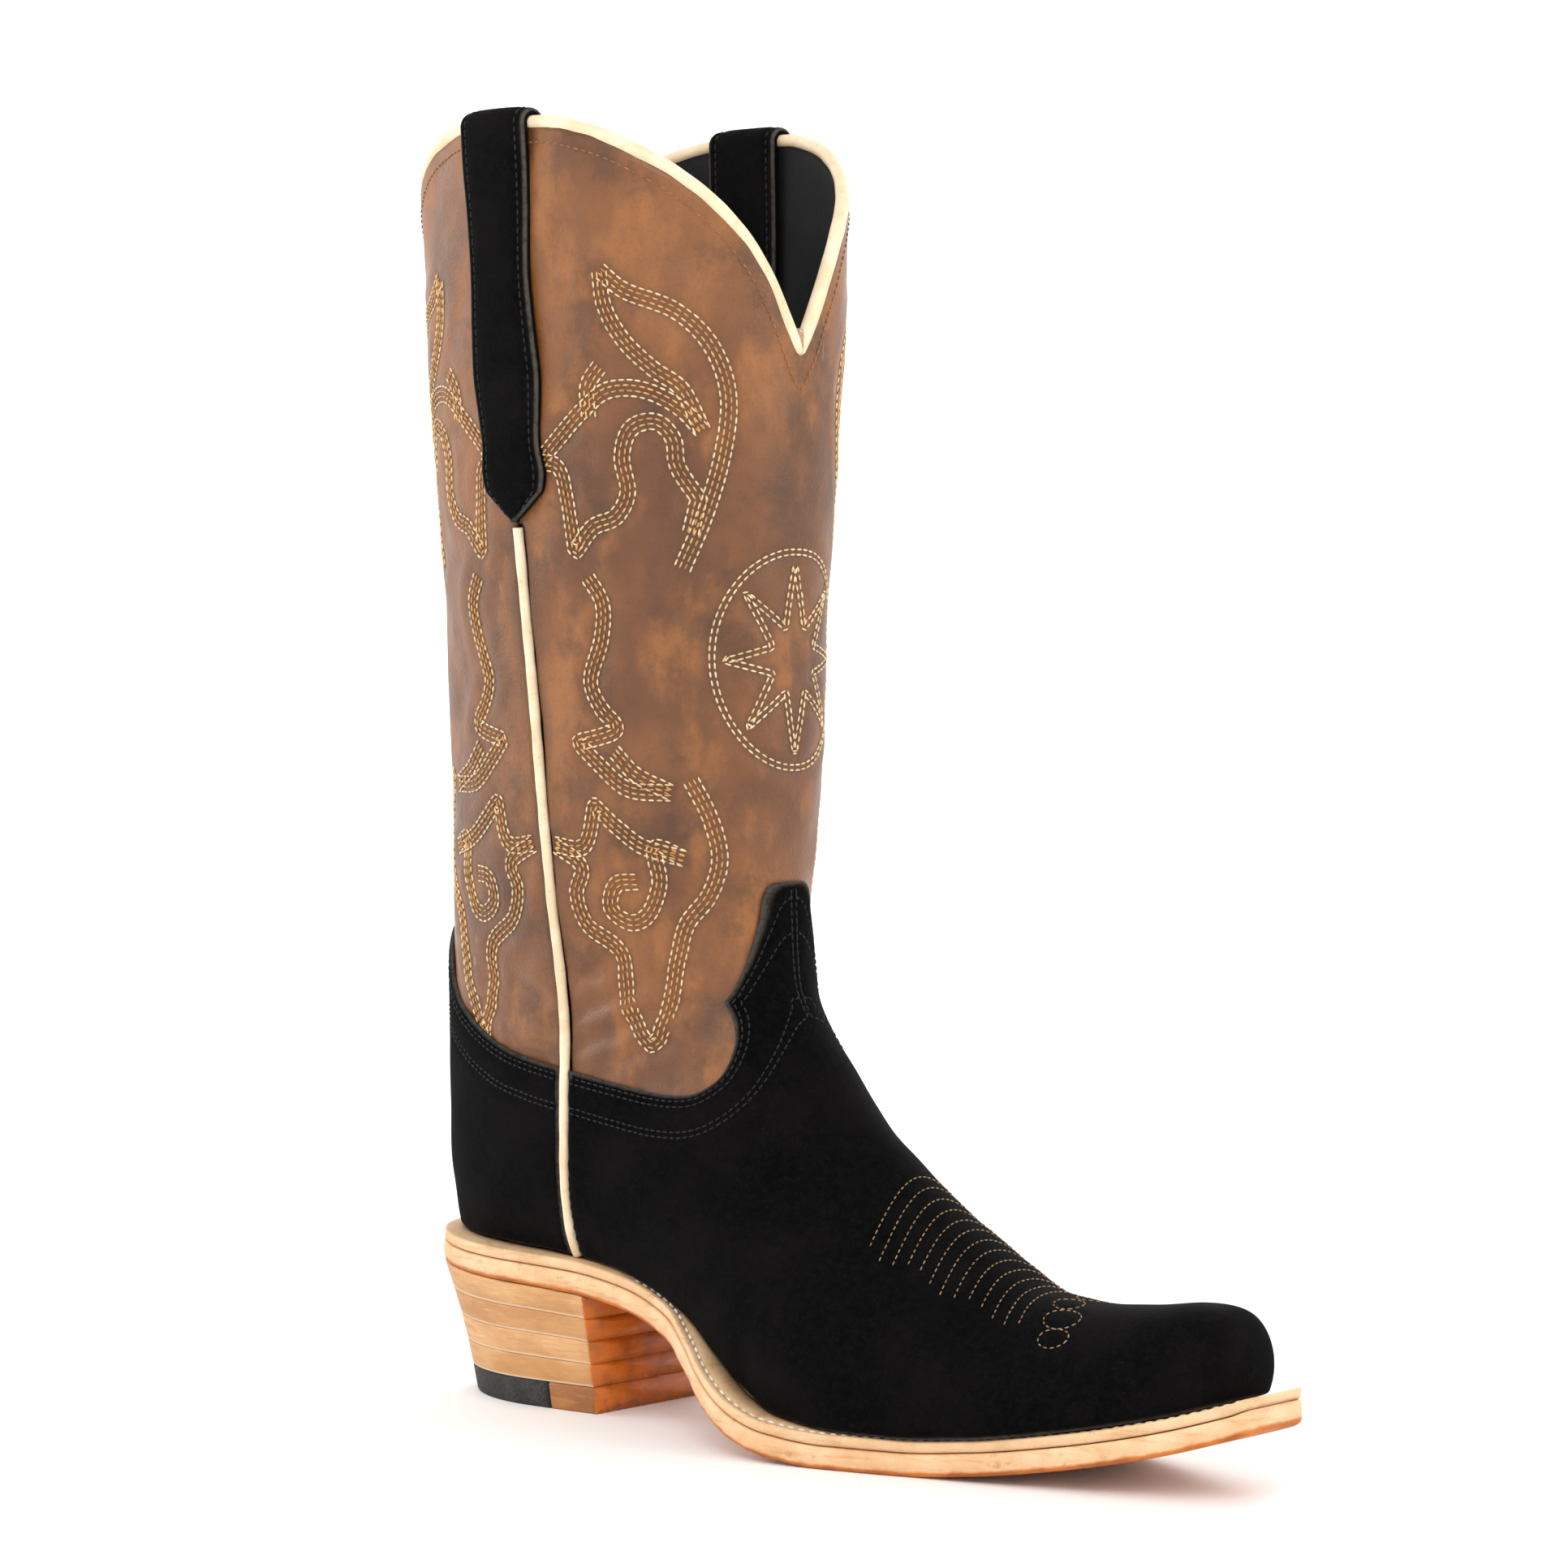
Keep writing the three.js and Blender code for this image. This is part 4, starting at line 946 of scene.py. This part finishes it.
# ---------------------------------------------------------------- sole: outsole, welt and fillings
# Vegetable-tanned sole leather, cut, stacked and sanded: the edge shows fine fibre lines along its
# length, is dyed pale tan and waxed, and its bottom bevel and the heel breast are stained orange.
HALF = [
    [-22, 30], [-10, 33.4], [6, 34.6], [22, 34], [40, 32.8], [56, 32.4], [72, 34.5], [86, 41],
    [98, 47.8], [108, 51.2], [118, 52], [132, 50.2], [150, 45.8], [170, 40.2], [195, 34],
    [220, 27.8], [240, 22.4], [256, 17.6], [263, TOE_W], [265, TOE_W - 1.2], [266, TOE_W - 3.4]]


def sole_half(x):
    """Half width of the sole; its back end is an arc, its toe is cut square with small corners."""
    x = np.asarray(x, float)
    back = 34.6 * np.sqrt(np.maximum(1 - ((np.minimum(x, 6) - 6) / 46.05) ** 2, 0)) ** 1.08
    return np.where(x < 6, back, soft(HALF, x))


def welt_low(x):
    return feather(x) - WELT_T


def sole_top(x):
    return welt_low(x) - GAP


def sole_low(x):
    return np.maximum(sole_top(x) - OUTSOLE_T * soft([[-44, 0.9], [60, 1], [300, 1]], x), 0)


def sole_leather(name, pale, deep, stain_mm):
    """stain_mm is how far up the edge the orange stain reaches, or 0 for none."""
    mat, place = new_material(name)
    drawn = add_node(mat, "Mapping", Vector=place, Scale=(0.12, 0.12, 1.0))
    fibre = add_node(mat, "TexNoise", Vector=drawn, Scale=1000 / 2.4, Detail=4, Roughness=0.7)
    cloud, blotch, pore, sanded, waves = (
        add_node(mat, "TexNoise", Vector=place, Scale=1000 / mm, Detail=detail, Roughness=gain)
        for mm, detail, gain in ((17, 4, 0.6), (5, 4, 0.7), (0.8, 2, 0.5), (1.4, 4, 0.7),
                                  (12, 3, 0.5)))
    colour = layer_colours(mat, rgb(pale), [
        (cloud, 0.34, 0.68, 1.0, rgb(deep)), (fibre, 0.5, 0.7, 0.5, rgb("#b5834f")),
        (blotch, 0.58, 0.72, 0.5, rgb("#a87444")), (pore, 0.62, 0.75, 0.45, rgb("#f1d6b0"))])
    if stain_mm:
        up = add_node(mat, "Attribute", {"attribute_name": "edge_mm"}, out="Fac")
        ragged = add_node(mat, "TexNoise", Vector=place, Scale=1000 / 4, Detail=3)
        patches = add_node(mat, "TexNoise", Vector=place, Scale=1000 / 11, Detail=4)
        stain = layer_colours(mat, rgb("#c97428"), [(patches, 0.35, 0.65, 1.0, rgb("#a9591a"))])
        colour = layer_colours(mat, colour, [
            (pile_up(mat, (up, 1.0), (ragged, 1.2)), stain_mm + 1.1, stain_mm - 0.1, 1.0, stain)])
    gloss = add_node(mat, "MapRange", SMOOTH, Value=cloud, _1=0.3, _2=0.7, _3=0.5, _4=0.66)
    height = pile_up(mat, (fibre, 1.2), (sanded, 1.0), (waves, 1.1))
    return finish_material(mat, colour, gloss, height, 0.22, 0.55, Specular_IOR_Level=0.4)


def long_body(xs, half, low, high, profile):
    """A body lofted along the boot. profile lists (pull in, share of the height) up one side."""
    rings, up = [], []
    for x in xs:
        h, a, b = float(half(x)), float(low(x)), float(high(x))
        side = [(-(h - min(d, h * 0.9)), a + (b - a) * f) for d, f in profile]
        top = [(y, b) for y in np.linspace(side[-1][0], -side[-1][0], 16)[1:-1]]
        bottom = [(y, a) for y in np.linspace(-side[0][0], side[0][0], 16)[1:-1]]
        ring = side + top + [(-y, z) for y, z in side[::-1]] + bottom
        rings.append(np.array([(x, y, z) for y, z in ring]))
        up += [z - a for _y, z in ring]
    verts, faces = rings_to_mesh(rings)
    return verts, faces, np.array(up + [3, 3])


sole_xs = np.concatenate([-40 + 8 * (1 - np.cos(np.linspace(0.05, math.pi / 2, 26))),
                          np.linspace(-31, 262, 290), np.linspace(262.8, 266, 9)])
edge_profile = [(2.0, 0.0), (1.0, 0.04), (0.45, 0.16), (0.2, 0.24), (0.35, 0.29), (0.1, 0.36),
                (0.0, 0.6), (0.1, 0.85), (0.5, 0.97), (1.1, 1.0)]
edge_leather = sole_leather("waxed_sole_edge_leather", "#e6bd94", "#d8a87a", 1.6)
verts, faces, up = long_body(sole_xs, sole_half, sole_low, sole_top, edge_profile)
rough = hand(verts, 9, 0.3) * 0.1 + hand(verts, 31, 1.1) * 0.12
verts[:, 1] += np.sign(verts[:, 1]) * rough * (np.abs(verts[:, 1]) > 4)
put_object("outsole_leather", bend(verts), faces, edge_leather, ["outsole"],
           {"edge_mm": up})
welt_leather = sole_leather("welt_leather", "#e0bb92", "#d0a87c", 0)


def loop_to_mesh(rings):
    """A closed band from cross-sections that run once round the boot."""
    n, m = len(rings), len(rings[0])
    i, k = np.meshgrid(np.arange(n), np.arange(m), indexing="ij")
    a, b = (i * m + k).ravel(), (i * m + (k + 1) % m).ravel()
    c, d = ((i + 1) % n * m + (k + 1) % m).ravel(), ((i + 1) % n * m + k).ravel()
    verts = np.vstack(rings)
    return verts, outward(verts, np.vstack([np.stack([a, b, c], -1), np.stack([a, c, d], -1)]))


side_xs = sole_xs[1:-1]
outline = [(x, -float(sole_half(x)) + 0.5) for x in side_xs]
outline += [(265.3, y) for y in np.linspace(-11, 11, 12)]
outline += [(x, float(sole_half(x)) - 0.5) for x in side_xs[::-1]]
# (mm in from the edge, depth): the rounded edge, then the groove that the stitches lie in.
welt_groove = [(0.0, 0.7), (0.25, 0.25), (0.7, 0.05), (1.5, 0), (2.0, 0.12), (2.5, 0.5), (2.9, 0.6),
               (3.4, 0.45), (4.0, 0.1), (5.0, 0.0)]
WELT_W, WELT_SEWN_FROM = 12, 52
rings = []
for x, y in outline:
    x_in = -27.5 + (x + 40) * 281 / 306
    inner = np.array([x_in, y * max(float(sole_half(x_in)) - WELT_W, 1.5) / (float(sole_half(x)) - 0.5)])
    away = inner - (x, y)
    far = np.linalg.norm(away)
    section = []
    for d, drop in [*welt_groove, (far, 0.0)]:
        p = np.array([x, y]) + away * min(d / far, 1)
        deep = drop if d < 1.6 or x > WELT_SEWN_FROM else 0
        section.append((*p, float(feather(p[0])) - deep))
    for d, rise in [(far, 0.0), (1.0, 0.0), (0.45, 0.25), (0.15, 0.9)]:
        p = np.array([x, y]) + away * d / far
        section.append((*p, float(welt_low(p[0])) + rise))
    rings.append(np.array(section))
verts, faces = loop_to_mesh(rings)
welt = put_object("welt_strip", bend(verts), faces, welt_leather, ["welt"],
                  {"edge_mm": np.full(len(verts), 3.0)})

# ---------------------------------------------------------------- heel
# Four lifts of the same leather, pasted and pegged, then sanded to one tapering face; the glue
# lines show as thin pale and dark seams. The cap is black rubber with a leather corner in front.
HEEL_H, CAP_T, GLUE = 38.0, 8.0, 0.15
BACK_TOP, BACK_LOW, BREAST, TAPER = -40, -28.6, 37.0, 0.775


def heel_body(low, high, x_from, x_to, round_edge=0.25, rows=70):
    """One layer of the heel; low and high give its faces' heights at the top outline's x."""
    us = np.concatenate([0.2 * (1 - np.cos(np.linspace(0.03, math.pi / 2, rows // 2))),
                         np.linspace(0.2, 1, rows // 2)[1:]])
    rings, heights = [], []
    for u in us:
        x_top = BACK_TOP + u * (BREAST + 1 - BACK_TOP)
        a, b = low(x_top), high(x_top)
        side = []
        for pull, share in ((round_edge, 0.0), (0.05, 0.1), (0.0, 0.5), (0.05, 0.9), (round_edge, 1.0)):
            z = a + (b - a) * share
            f = z / (HEEL_H + 2.4)
            hollow = 0.8 * math.sin(math.pi * min(max(f, 0), 1))
            back, front = BACK_LOW + (BACK_TOP - BACK_LOW) * f + hollow, BREAST + f
            half = float(sole_half(x_top)) * (TAPER + (1 - TAPER) * f) - hollow * 0.8 - pull
            side.append((back + u * (front - back), -max(half, 0.4), z))
        across = [(side[-1][0], y, b) for y in np.linspace(side[-1][1], -side[-1][1], 14)[1:-1]]
        under = [(side[0][0], y, a) for y in np.linspace(-side[0][1], side[0][1], 14)[1:-1]]
        ring = side + across + [(x, -y, z) for x, y, z in side[::-1]] + under
        if x_from <= np.mean([x for x, _y, _z in ring]) <= x_to:
            rings.append(np.array(ring))
            heights += [z - a for _x, _y, z in ring]
    verts, faces = rings_to_mesh(rings)
    return verts, faces, np.array(heights + [2, 2])


def lift_face(x, k):
    """Height of the joint under lift k, between the cap and the outsole."""
    return CAP_T + GLUE + (float(sole_low(x)) - GLUE - CAP_T - GLUE) * k / 4


def lift_leather(name, pale, deep):
    mat, place = new_material(name)
    drawn = add_node(mat, "Mapping", Vector=place, Scale=(0.1, 0.1, 1.0))
    fibre = add_node(mat, "TexNoise", Vector=drawn, Scale=1000 / 1.5, Detail=5, Roughness=0.75)
    flat = add_node(mat, "Mapping", Vector=place, Scale=(0.5, 0.5, 1.0))
    tone = add_node(mat, "TexNoise", Vector=flat, Scale=1000 / 14, Detail=4, Roughness=0.65)
    seam = add_node(mat, "Attribute", {"attribute_name": "edge_mm"}, out="Fac")
    colour = layer_colours(mat, rgb(pale), [
        (tone, 0.36, 0.66, 1.0, rgb(deep)), (fibre, 0.48, 0.68, 0.6, rgb("#b17f4f")),
        (fibre, 0.42, 0.3, 0.45, rgb("#eccfa6")), (seam, 0.75, 0.25, 0.8, rgb("#efdcc0"))])
    # The breast faces the toe, so it begins at one distance along the boot.
    along = add_node(mat, "SeparateXYZ", Vector=place)
    ragged, patches, scuff = (
        add_node(mat, "TexNoise", Vector=place, Scale=1000 / mm, Detail=detail, Roughness=gain)
        for mm, detail, gain in ((3, 3, 0.5), (9, 4, 0.5), (0.9, 3, 0.7)))
    breast = add_node(mat, "MapRange", SMOOTH, Value=pile_up(mat, (along, 1.0), (ragged, 0.0012)),
                      _1=0.03735, _2=0.0377)
    glossy = layer_colours(mat, rgb("#cc6a14"), [(patches, 0.35, 0.7, 1.0, rgb("#a4500a"))])
    colour = add_node(mat, "Mix", MIX, out=2, _0=breast, _6=colour, _7=glossy)
    sanded = add_node(mat, "MapRange", SMOOTH, Value=fibre, _1=0.3, _2=0.7, _3=0.5, _4=0.62)
    rough = pile_up(mat, (sanded, 1.0), (breast, -0.28))
    height = pile_up(mat, (fibre, 1.6), (scuff, 1.0))
    return finish_material(mat, colour, rough, height, 0.2, 0.5, Specular_IOR_Level=0.45)


tones = (("#c79763", "#b7824d"), ("#d0a06e", "#c08d5a"), ("#c3925f", "#b27d49"),
         ("#cc9d6a", "#bb8853"))
for k in range(4):
    verts, faces, up = heel_body(lambda x: lift_face(x, k) + 0.08, lambda x: lift_face(x, k + 1) - 0.08,
                                 -60, 60)
    mat = lift_leather("stacked_lift_leather_%d" % (k + 1), *tones[k])
    put_object("stacked_lift_%d" % (k + 1), bend(verts), faces, mat, ["heel_lift_%d" % (k + 1)],
               {"edge_mm": up})


def heel_rubber(name):
    mat, place = new_material(name)
    speck, dust = (
        add_node(mat, "TexNoise", Vector=place, Scale=1000 / mm, Detail=detail, Roughness=gain)
        for mm, detail, gain in ((0.8, 3, 0.7), (12, 4, 0.5)))
    drawn = add_node(mat, "Mapping", Vector=place, Scale=(0.3, 0.3, 1))
    flow = add_node(mat, "TexNoise", Vector=drawn, Scale=1000 / 3, Detail=3, Roughness=0.6)
    colour = layer_colours(mat, rgb("#232322"), [(speck, 0.4, 0.7, 1.0, rgb("#3d3b38")),
                                                 (dust, 0.5, 0.75, 0.5, rgb("#57524b"))])
    return finish_material(mat, colour, 0.78, pile_up(mat, (speck, 1.0), (flow, 1.2)), 0.25, 0.6,
                           Specular_IOR_Level=0.3)


verts, faces, up = heel_body(lambda x: 0.0, lambda x: CAP_T, -60, 20, 0.5, 90)
put_object("rubber_cap", bend(verts), faces, heel_rubber("moulded_heel_rubber"), ["heel_cap_rubber"],
           {"edge_mm": up})
verts, faces, up = heel_body(lambda x: 0.0, lambda x: CAP_T, 20, 60, 0.4, 90)
corner_leather = lift_leather("cap_corner_leather", "#a8703c", "#8a5529")
put_object("cap_corner_leather", bend(verts), faces, corner_leather, ["heel_cap_leather"],
           {"edge_mm": up + 1})

# ---------------------------------------------------------------- hidden pieces
# Inside the sole lie the cork that levels the hollow under the insole, the steel shank that holds
# up the arch, the insole the upper is lasted to, its thin sock, and the nails that hold the heel.


def cork_board(name):
    mat, place = new_material(name)
    crumb = add_node(mat, "TexVoronoi", out="Color", Vector=place, Scale=650.0)
    grey = add_node(mat, "RGBToBW", Color=crumb)
    colour = add_node(mat, "Mix", MIX, out=2, _0=grey, _6=rgb("#7a5a38"), _7=rgb("#b58f62"))
    return finish_material(mat, colour, 0.9, grey, 0.3, 0.6)


def steel(name):
    mat, place = new_material(name)
    scale = add_node(mat, "TexNoise", Vector=place, Scale=1000 / 3, Detail=4, Roughness=0.7)
    colour = layer_colours(mat, rgb("#8b8d90"), [(scale, 0.4, 0.7, 1.0, rgb("#6d6c6b"))])
    return finish_material(mat, colour, 0.42, scale, 0.05, 0.4, Metallic=1.0)


hidden_steel = steel("tempered_steel")
hidden_mats = {"cork_filler": cork_board("cork_board"), "shank_steel": hidden_steel,
               "insole": sole_leather("insole_leather", "#caa678", "#b48e60", 0),
               "sock_liner": lining_leather("sock_leather", "#8a6f4c", "#a58a62", 0.7)}
for k in range(1, 6):
    hidden_mats["heel_nail_%d" % k] = hidden_steel
for node, mat in hidden_mats.items():
    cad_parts[node].material_slots[0].material = mat

# ---------------------------------------------------------------- stitching
# Waxed polyester thread: a lockstitch shows as a row of short plump dashes pulled into the leather,
# so each stitch is its own bead, laid along the row and seated on the surface under it.


def thread(name, light, dark, rough=0.55):
    mat, place = new_material(name)
    twist, tone = (
        add_node(mat, "TexNoise", Vector=place, Scale=1000 / mm, Detail=detail, Roughness=gain)
        for mm, detail, gain in ((0.35, 2, 0.6), (3, 3, 0.6)))
    colour = layer_colours(mat, rgb(light), [(tone, 0.35, 0.65, 1.0, rgb(dark)),
                                             (twist, 0.5, 0.7, 0.5, rgb(dark))])
    return finish_material(mat, colour, rough, twist, 0.08, 0.5, Specular_IOR_Level=0.35,
                           Sheen_Weight=0.1)


def stitch_tree():
    """A bead on every point, laid along its run and standing on its face."""
    tree = bpy.data.node_groups.new("stitches", "GeometryNodeTree")
    tree.interface.new_socket("Geometry", in_out="OUTPUT", socket_type="NodeSocketGeometry")
    tree.interface.new_socket("Geometry", in_out="INPUT", socket_type="NodeSocketGeometry")
    for label, kind in (("Length", "NodeSocketFloat"), ("Thickness", "NodeSocketFloat"),
                        ("Unevenness", "NodeSocketFloat"), ("Seed", "NodeSocketInt"),
                        ("Thread", "NodeSocketMaterial")):
        tree.interface.new_socket(label, in_out="INPUT", socket_type=kind)
    made = {}
    for key, kind, settings in (
            ("in", "NodeGroupInput", {}), ("out", "NodeGroupOutput", {}),
            ("points", "GeometryNodeMeshToPoints", {}),
            ("bead", "GeometryNodeMeshUVSphere", {}), ("place", "GeometryNodeInstanceOnPoints", {}),
            ("run", "GeometryNodeInputNamedAttribute", {"data_type": "FLOAT_VECTOR"}),
            ("face", "GeometryNodeInputNamedAttribute", {"data_type": "FLOAT_VECTOR"}),
            ("along", "FunctionNodeAlignRotationToVector", {"axis": "X"}),
            ("stand", "FunctionNodeAlignRotationToVector", {"axis": "Z", "pivot_axis": "X"}),
            ("vary", "FunctionNodeRandomValue", {"data_type": "FLOAT"}),
            ("least", "ShaderNodeMath", {"operation": "SUBTRACT"}),
            ("most", "ShaderNodeMath", {"operation": "ADD"}),
            ("long", "ShaderNodeMath", {"operation": "MULTIPLY"}), ("size", "ShaderNodeCombineXYZ", {}),
            ("real", "GeometryNodeRealizeInstances", {}), ("smooth", "GeometryNodeSetShadeSmooth", {}),
            ("paint", "GeometryNodeSetMaterial", {})):
        made[key] = tree.nodes.new(kind)
        for setting, value in settings.items():
            setattr(made[key], setting, value)
    made["run"].inputs["Name"].default_value, made["face"].inputs["Name"].default_value = "run", "face"
    made["bead"].inputs["Segments"].default_value, made["bead"].inputs["Rings"].default_value = 6, 4
    made["bead"].inputs["Radius"].default_value = 0.5
    made["least"].inputs[0].default_value = made["most"].inputs[0].default_value = 1.0
    for a, out, b, socket in (
            ("in", "Geometry", "points", "Mesh"), ("points", "Points", "place", "Points"),
            ("bead", "Mesh", "place", "Instance"), ("run", "Attribute", "along", "Vector"),
            ("along", "Rotation", "stand", "Rotation"), ("face", "Attribute", "stand", "Vector"),
            ("stand", "Rotation", "place", "Rotation"), ("in", "Unevenness", "least", 1),
            ("in", "Unevenness", "most", 1), ("least", 0, "vary", 2), ("most", 0, "vary", 3),
            ("in", "Seed", "vary", "Seed"), ("vary", 1, "long", 0), ("in", "Length", "long", 1),
            ("long", 0, "size", "X"), ("in", "Thickness", "size", "Y"), ("in", "Thickness", "size", "Z"),
            ("size", 0, "place", "Scale"), ("place", "Instances", "real", "Geometry"),
            ("real", "Geometry", "smooth", "Geometry"), ("smooth", "Geometry", "paint", "Geometry"),
            ("in", "Thread", "paint", "Material"), ("paint", "Geometry", "out", "Geometry")):
        tree.links.new(made[a].outputs[out], made[b].inputs[socket])
    return tree


stitches = stitch_tree()


def surface_of(o):
    return BVHTree.FromPolygons([v.co for v in o.data.vertices],
                                [tuple(p.vertices) for p in o.data.polygons])


def sew(name, rows, surface, gauge, mat, sink, seed):
    """rows are unbent lines in mm; every stitch is seated on the surface nearest to it."""
    pitch, length, thickness = gauge
    places, runs, faces = [], [], []
    for row in rows:
        far = np.linalg.norm(np.diff(row, axis=0), axis=1).sum()
        n = int(far / pitch)
        if n < 2:
            continue
        p = bend(evenly(row, 2 * n + 1))
        for k in range(n):
            hit = [surface.find_nearest(Vector(p[2 * k + j])) for j in (0, 1, 2)]
            if any(h[0] is None or h[3] > 0.0025 for h in hit):
                continue
            places.append(hit[1][0] + hit[1][1] * (thickness * 0.5 - sink) / 1000)
            runs.append((hit[2][0] - hit[0][0]).normalized())
            faces.append(hit[1][1])
    mesh = bpy.data.meshes.new(name + "_points")
    mesh.from_pydata([tuple(p) for p in places], [], [])
    for key, values in (("run", runs), ("face", faces)):
        mesh.attributes.new(key, "FLOAT_VECTOR", "POINT").data.foreach_set(
            "vector", np.array([tuple(v) for v in values], np.float32).ravel())
    o = bpy.data.objects.new(name, mesh)
    bpy.context.collection.objects.link(o)
    mod = o.modifiers.new("stitches", "NODES")
    mod.node_group = stitches
    given = {"Length": length / 1000, "Thickness": thickness / 1000, "Unevenness": 0.1, "Seed": seed,
             "Thread": mat}
    for item in stitches.interface.items_tree:
        if item.in_out == "INPUT" and item.name in given:
            mod[item.identifier] = given[item.name]
    bpy.context.view_layer.update()
    done = bpy.data.meshes.new_from_object(o.evaluated_get(bpy.context.evaluated_depsgraph_get()))
    o.modifiers.remove(mod)
    o.data = done
    o.data.name = name
    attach(o, "root")
    return o


gold_thread = thread("honey_polyester_thread", "#d6a868", "#b98346")
brown_thread = thread("brown_polyester_thread", "#a06a38", "#7c4f26")
amber_thread = thread("amber_polyester_thread", "#cb9858", "#a8743c")
cream_thread = thread("cream_polyester_thread", "#e6cfa8", "#c9ab7b")
black_thread = thread("black_polyester_thread", "#141311", "#0a0909", 0.8)
toe_thread = thread("tan_polyester_thread", "#a4835a", "#7d603f")
white_thread = thread("white_waxed_thread", "#ece6da", "#cfc6b6")

# Each gauge is a stitch's pitch, length and thickness in mm.
PATTERN_GAUGE, COLLAR_GAUGE, EDGE_GAUGE = (2.5, 2.15, 0.62), (2.4, 1.9, 0.5), (2.3, 1.8, 0.5)
TOE_GAUGE, STRAP_GAUGE, WELT_GAUGE = (2.1, 1.5, 0.4), (2.6, 2.0, 0.55), (3.3, 2.7, 0.85)
threads = (("cream", cream_thread), ("amber", amber_thread), ("honey", gold_thread),
           ("pale", cream_thread))
for panel, rows, seed in (("front", front_rows, 11), ("back", back_rows, 29)):
    surface = surface_of(bpy.data.objects[panel + "_shaft_leather"])
    for k, (label, mat) in enumerate(threads):
        sew("%s_%s_stitches" % (panel, label), [r for r, which in rows if which == k], surface,
            PATTERN_GAUGE, mat, 0.1, seed + k)
    middle = 0 if panel == "front" else math.pi
    phi = np.linspace(-94, 94, 400) * DEG + middle
    z = collar(phi) - rim_drop(phi, COLLAR_R + 3.6)
    row = skin(level_at(z, phi), phi, 0.0)
    sew(panel + "_collar_stitches", [row], surface, COLLAR_GAUGE, brown_thread, 0.1,
        seed + 7)
vamp_surface = surface_of(vamp)
sew("vamp_seam_stitches", vamp_seams, vamp_surface, EDGE_GAUGE, black_thread, 0.1, 41)
sew("toe_stitches", toe_rows, vamp_surface, TOE_GAUGE, toe_thread, 0.08, 43)
sew("counter_seam_stitches", counter_seams, surface_of(counter), EDGE_GAUGE, black_thread,
    0.1, 47)
for side, label in ((-1, "medial"), (1, "lateral")):
    rows = []
    for share in (-0.78, 0.78):
        line = np.vstack(strap_points(strap_stations[3:-6], [share], STRAP_T - 0.5))
        rows.append(line * np.array([1, side, 1]))
    sew("strap_stitches_" + label, rows, surface_of(straps[side]), STRAP_GAUGE, black_thread,
        0.1, 53)
welt_row = [(x, 3.3 - float(sole_half(x))) for x in np.linspace(56, 262, 240)]
welt_row += [(262.2, y) for y in np.linspace(-9.5, 9.5, 12)]
welt_row += [(x, float(sole_half(x)) - 3.3) for x in np.linspace(262, 56, 240)]
welt_row = np.array([(x, y, float(feather(x)) - 0.5) for x, y in welt_row])
sew("welt_stitches", [welt_row], surface_of(welt), WELT_GAUGE, white_thread, 0.1, 59)
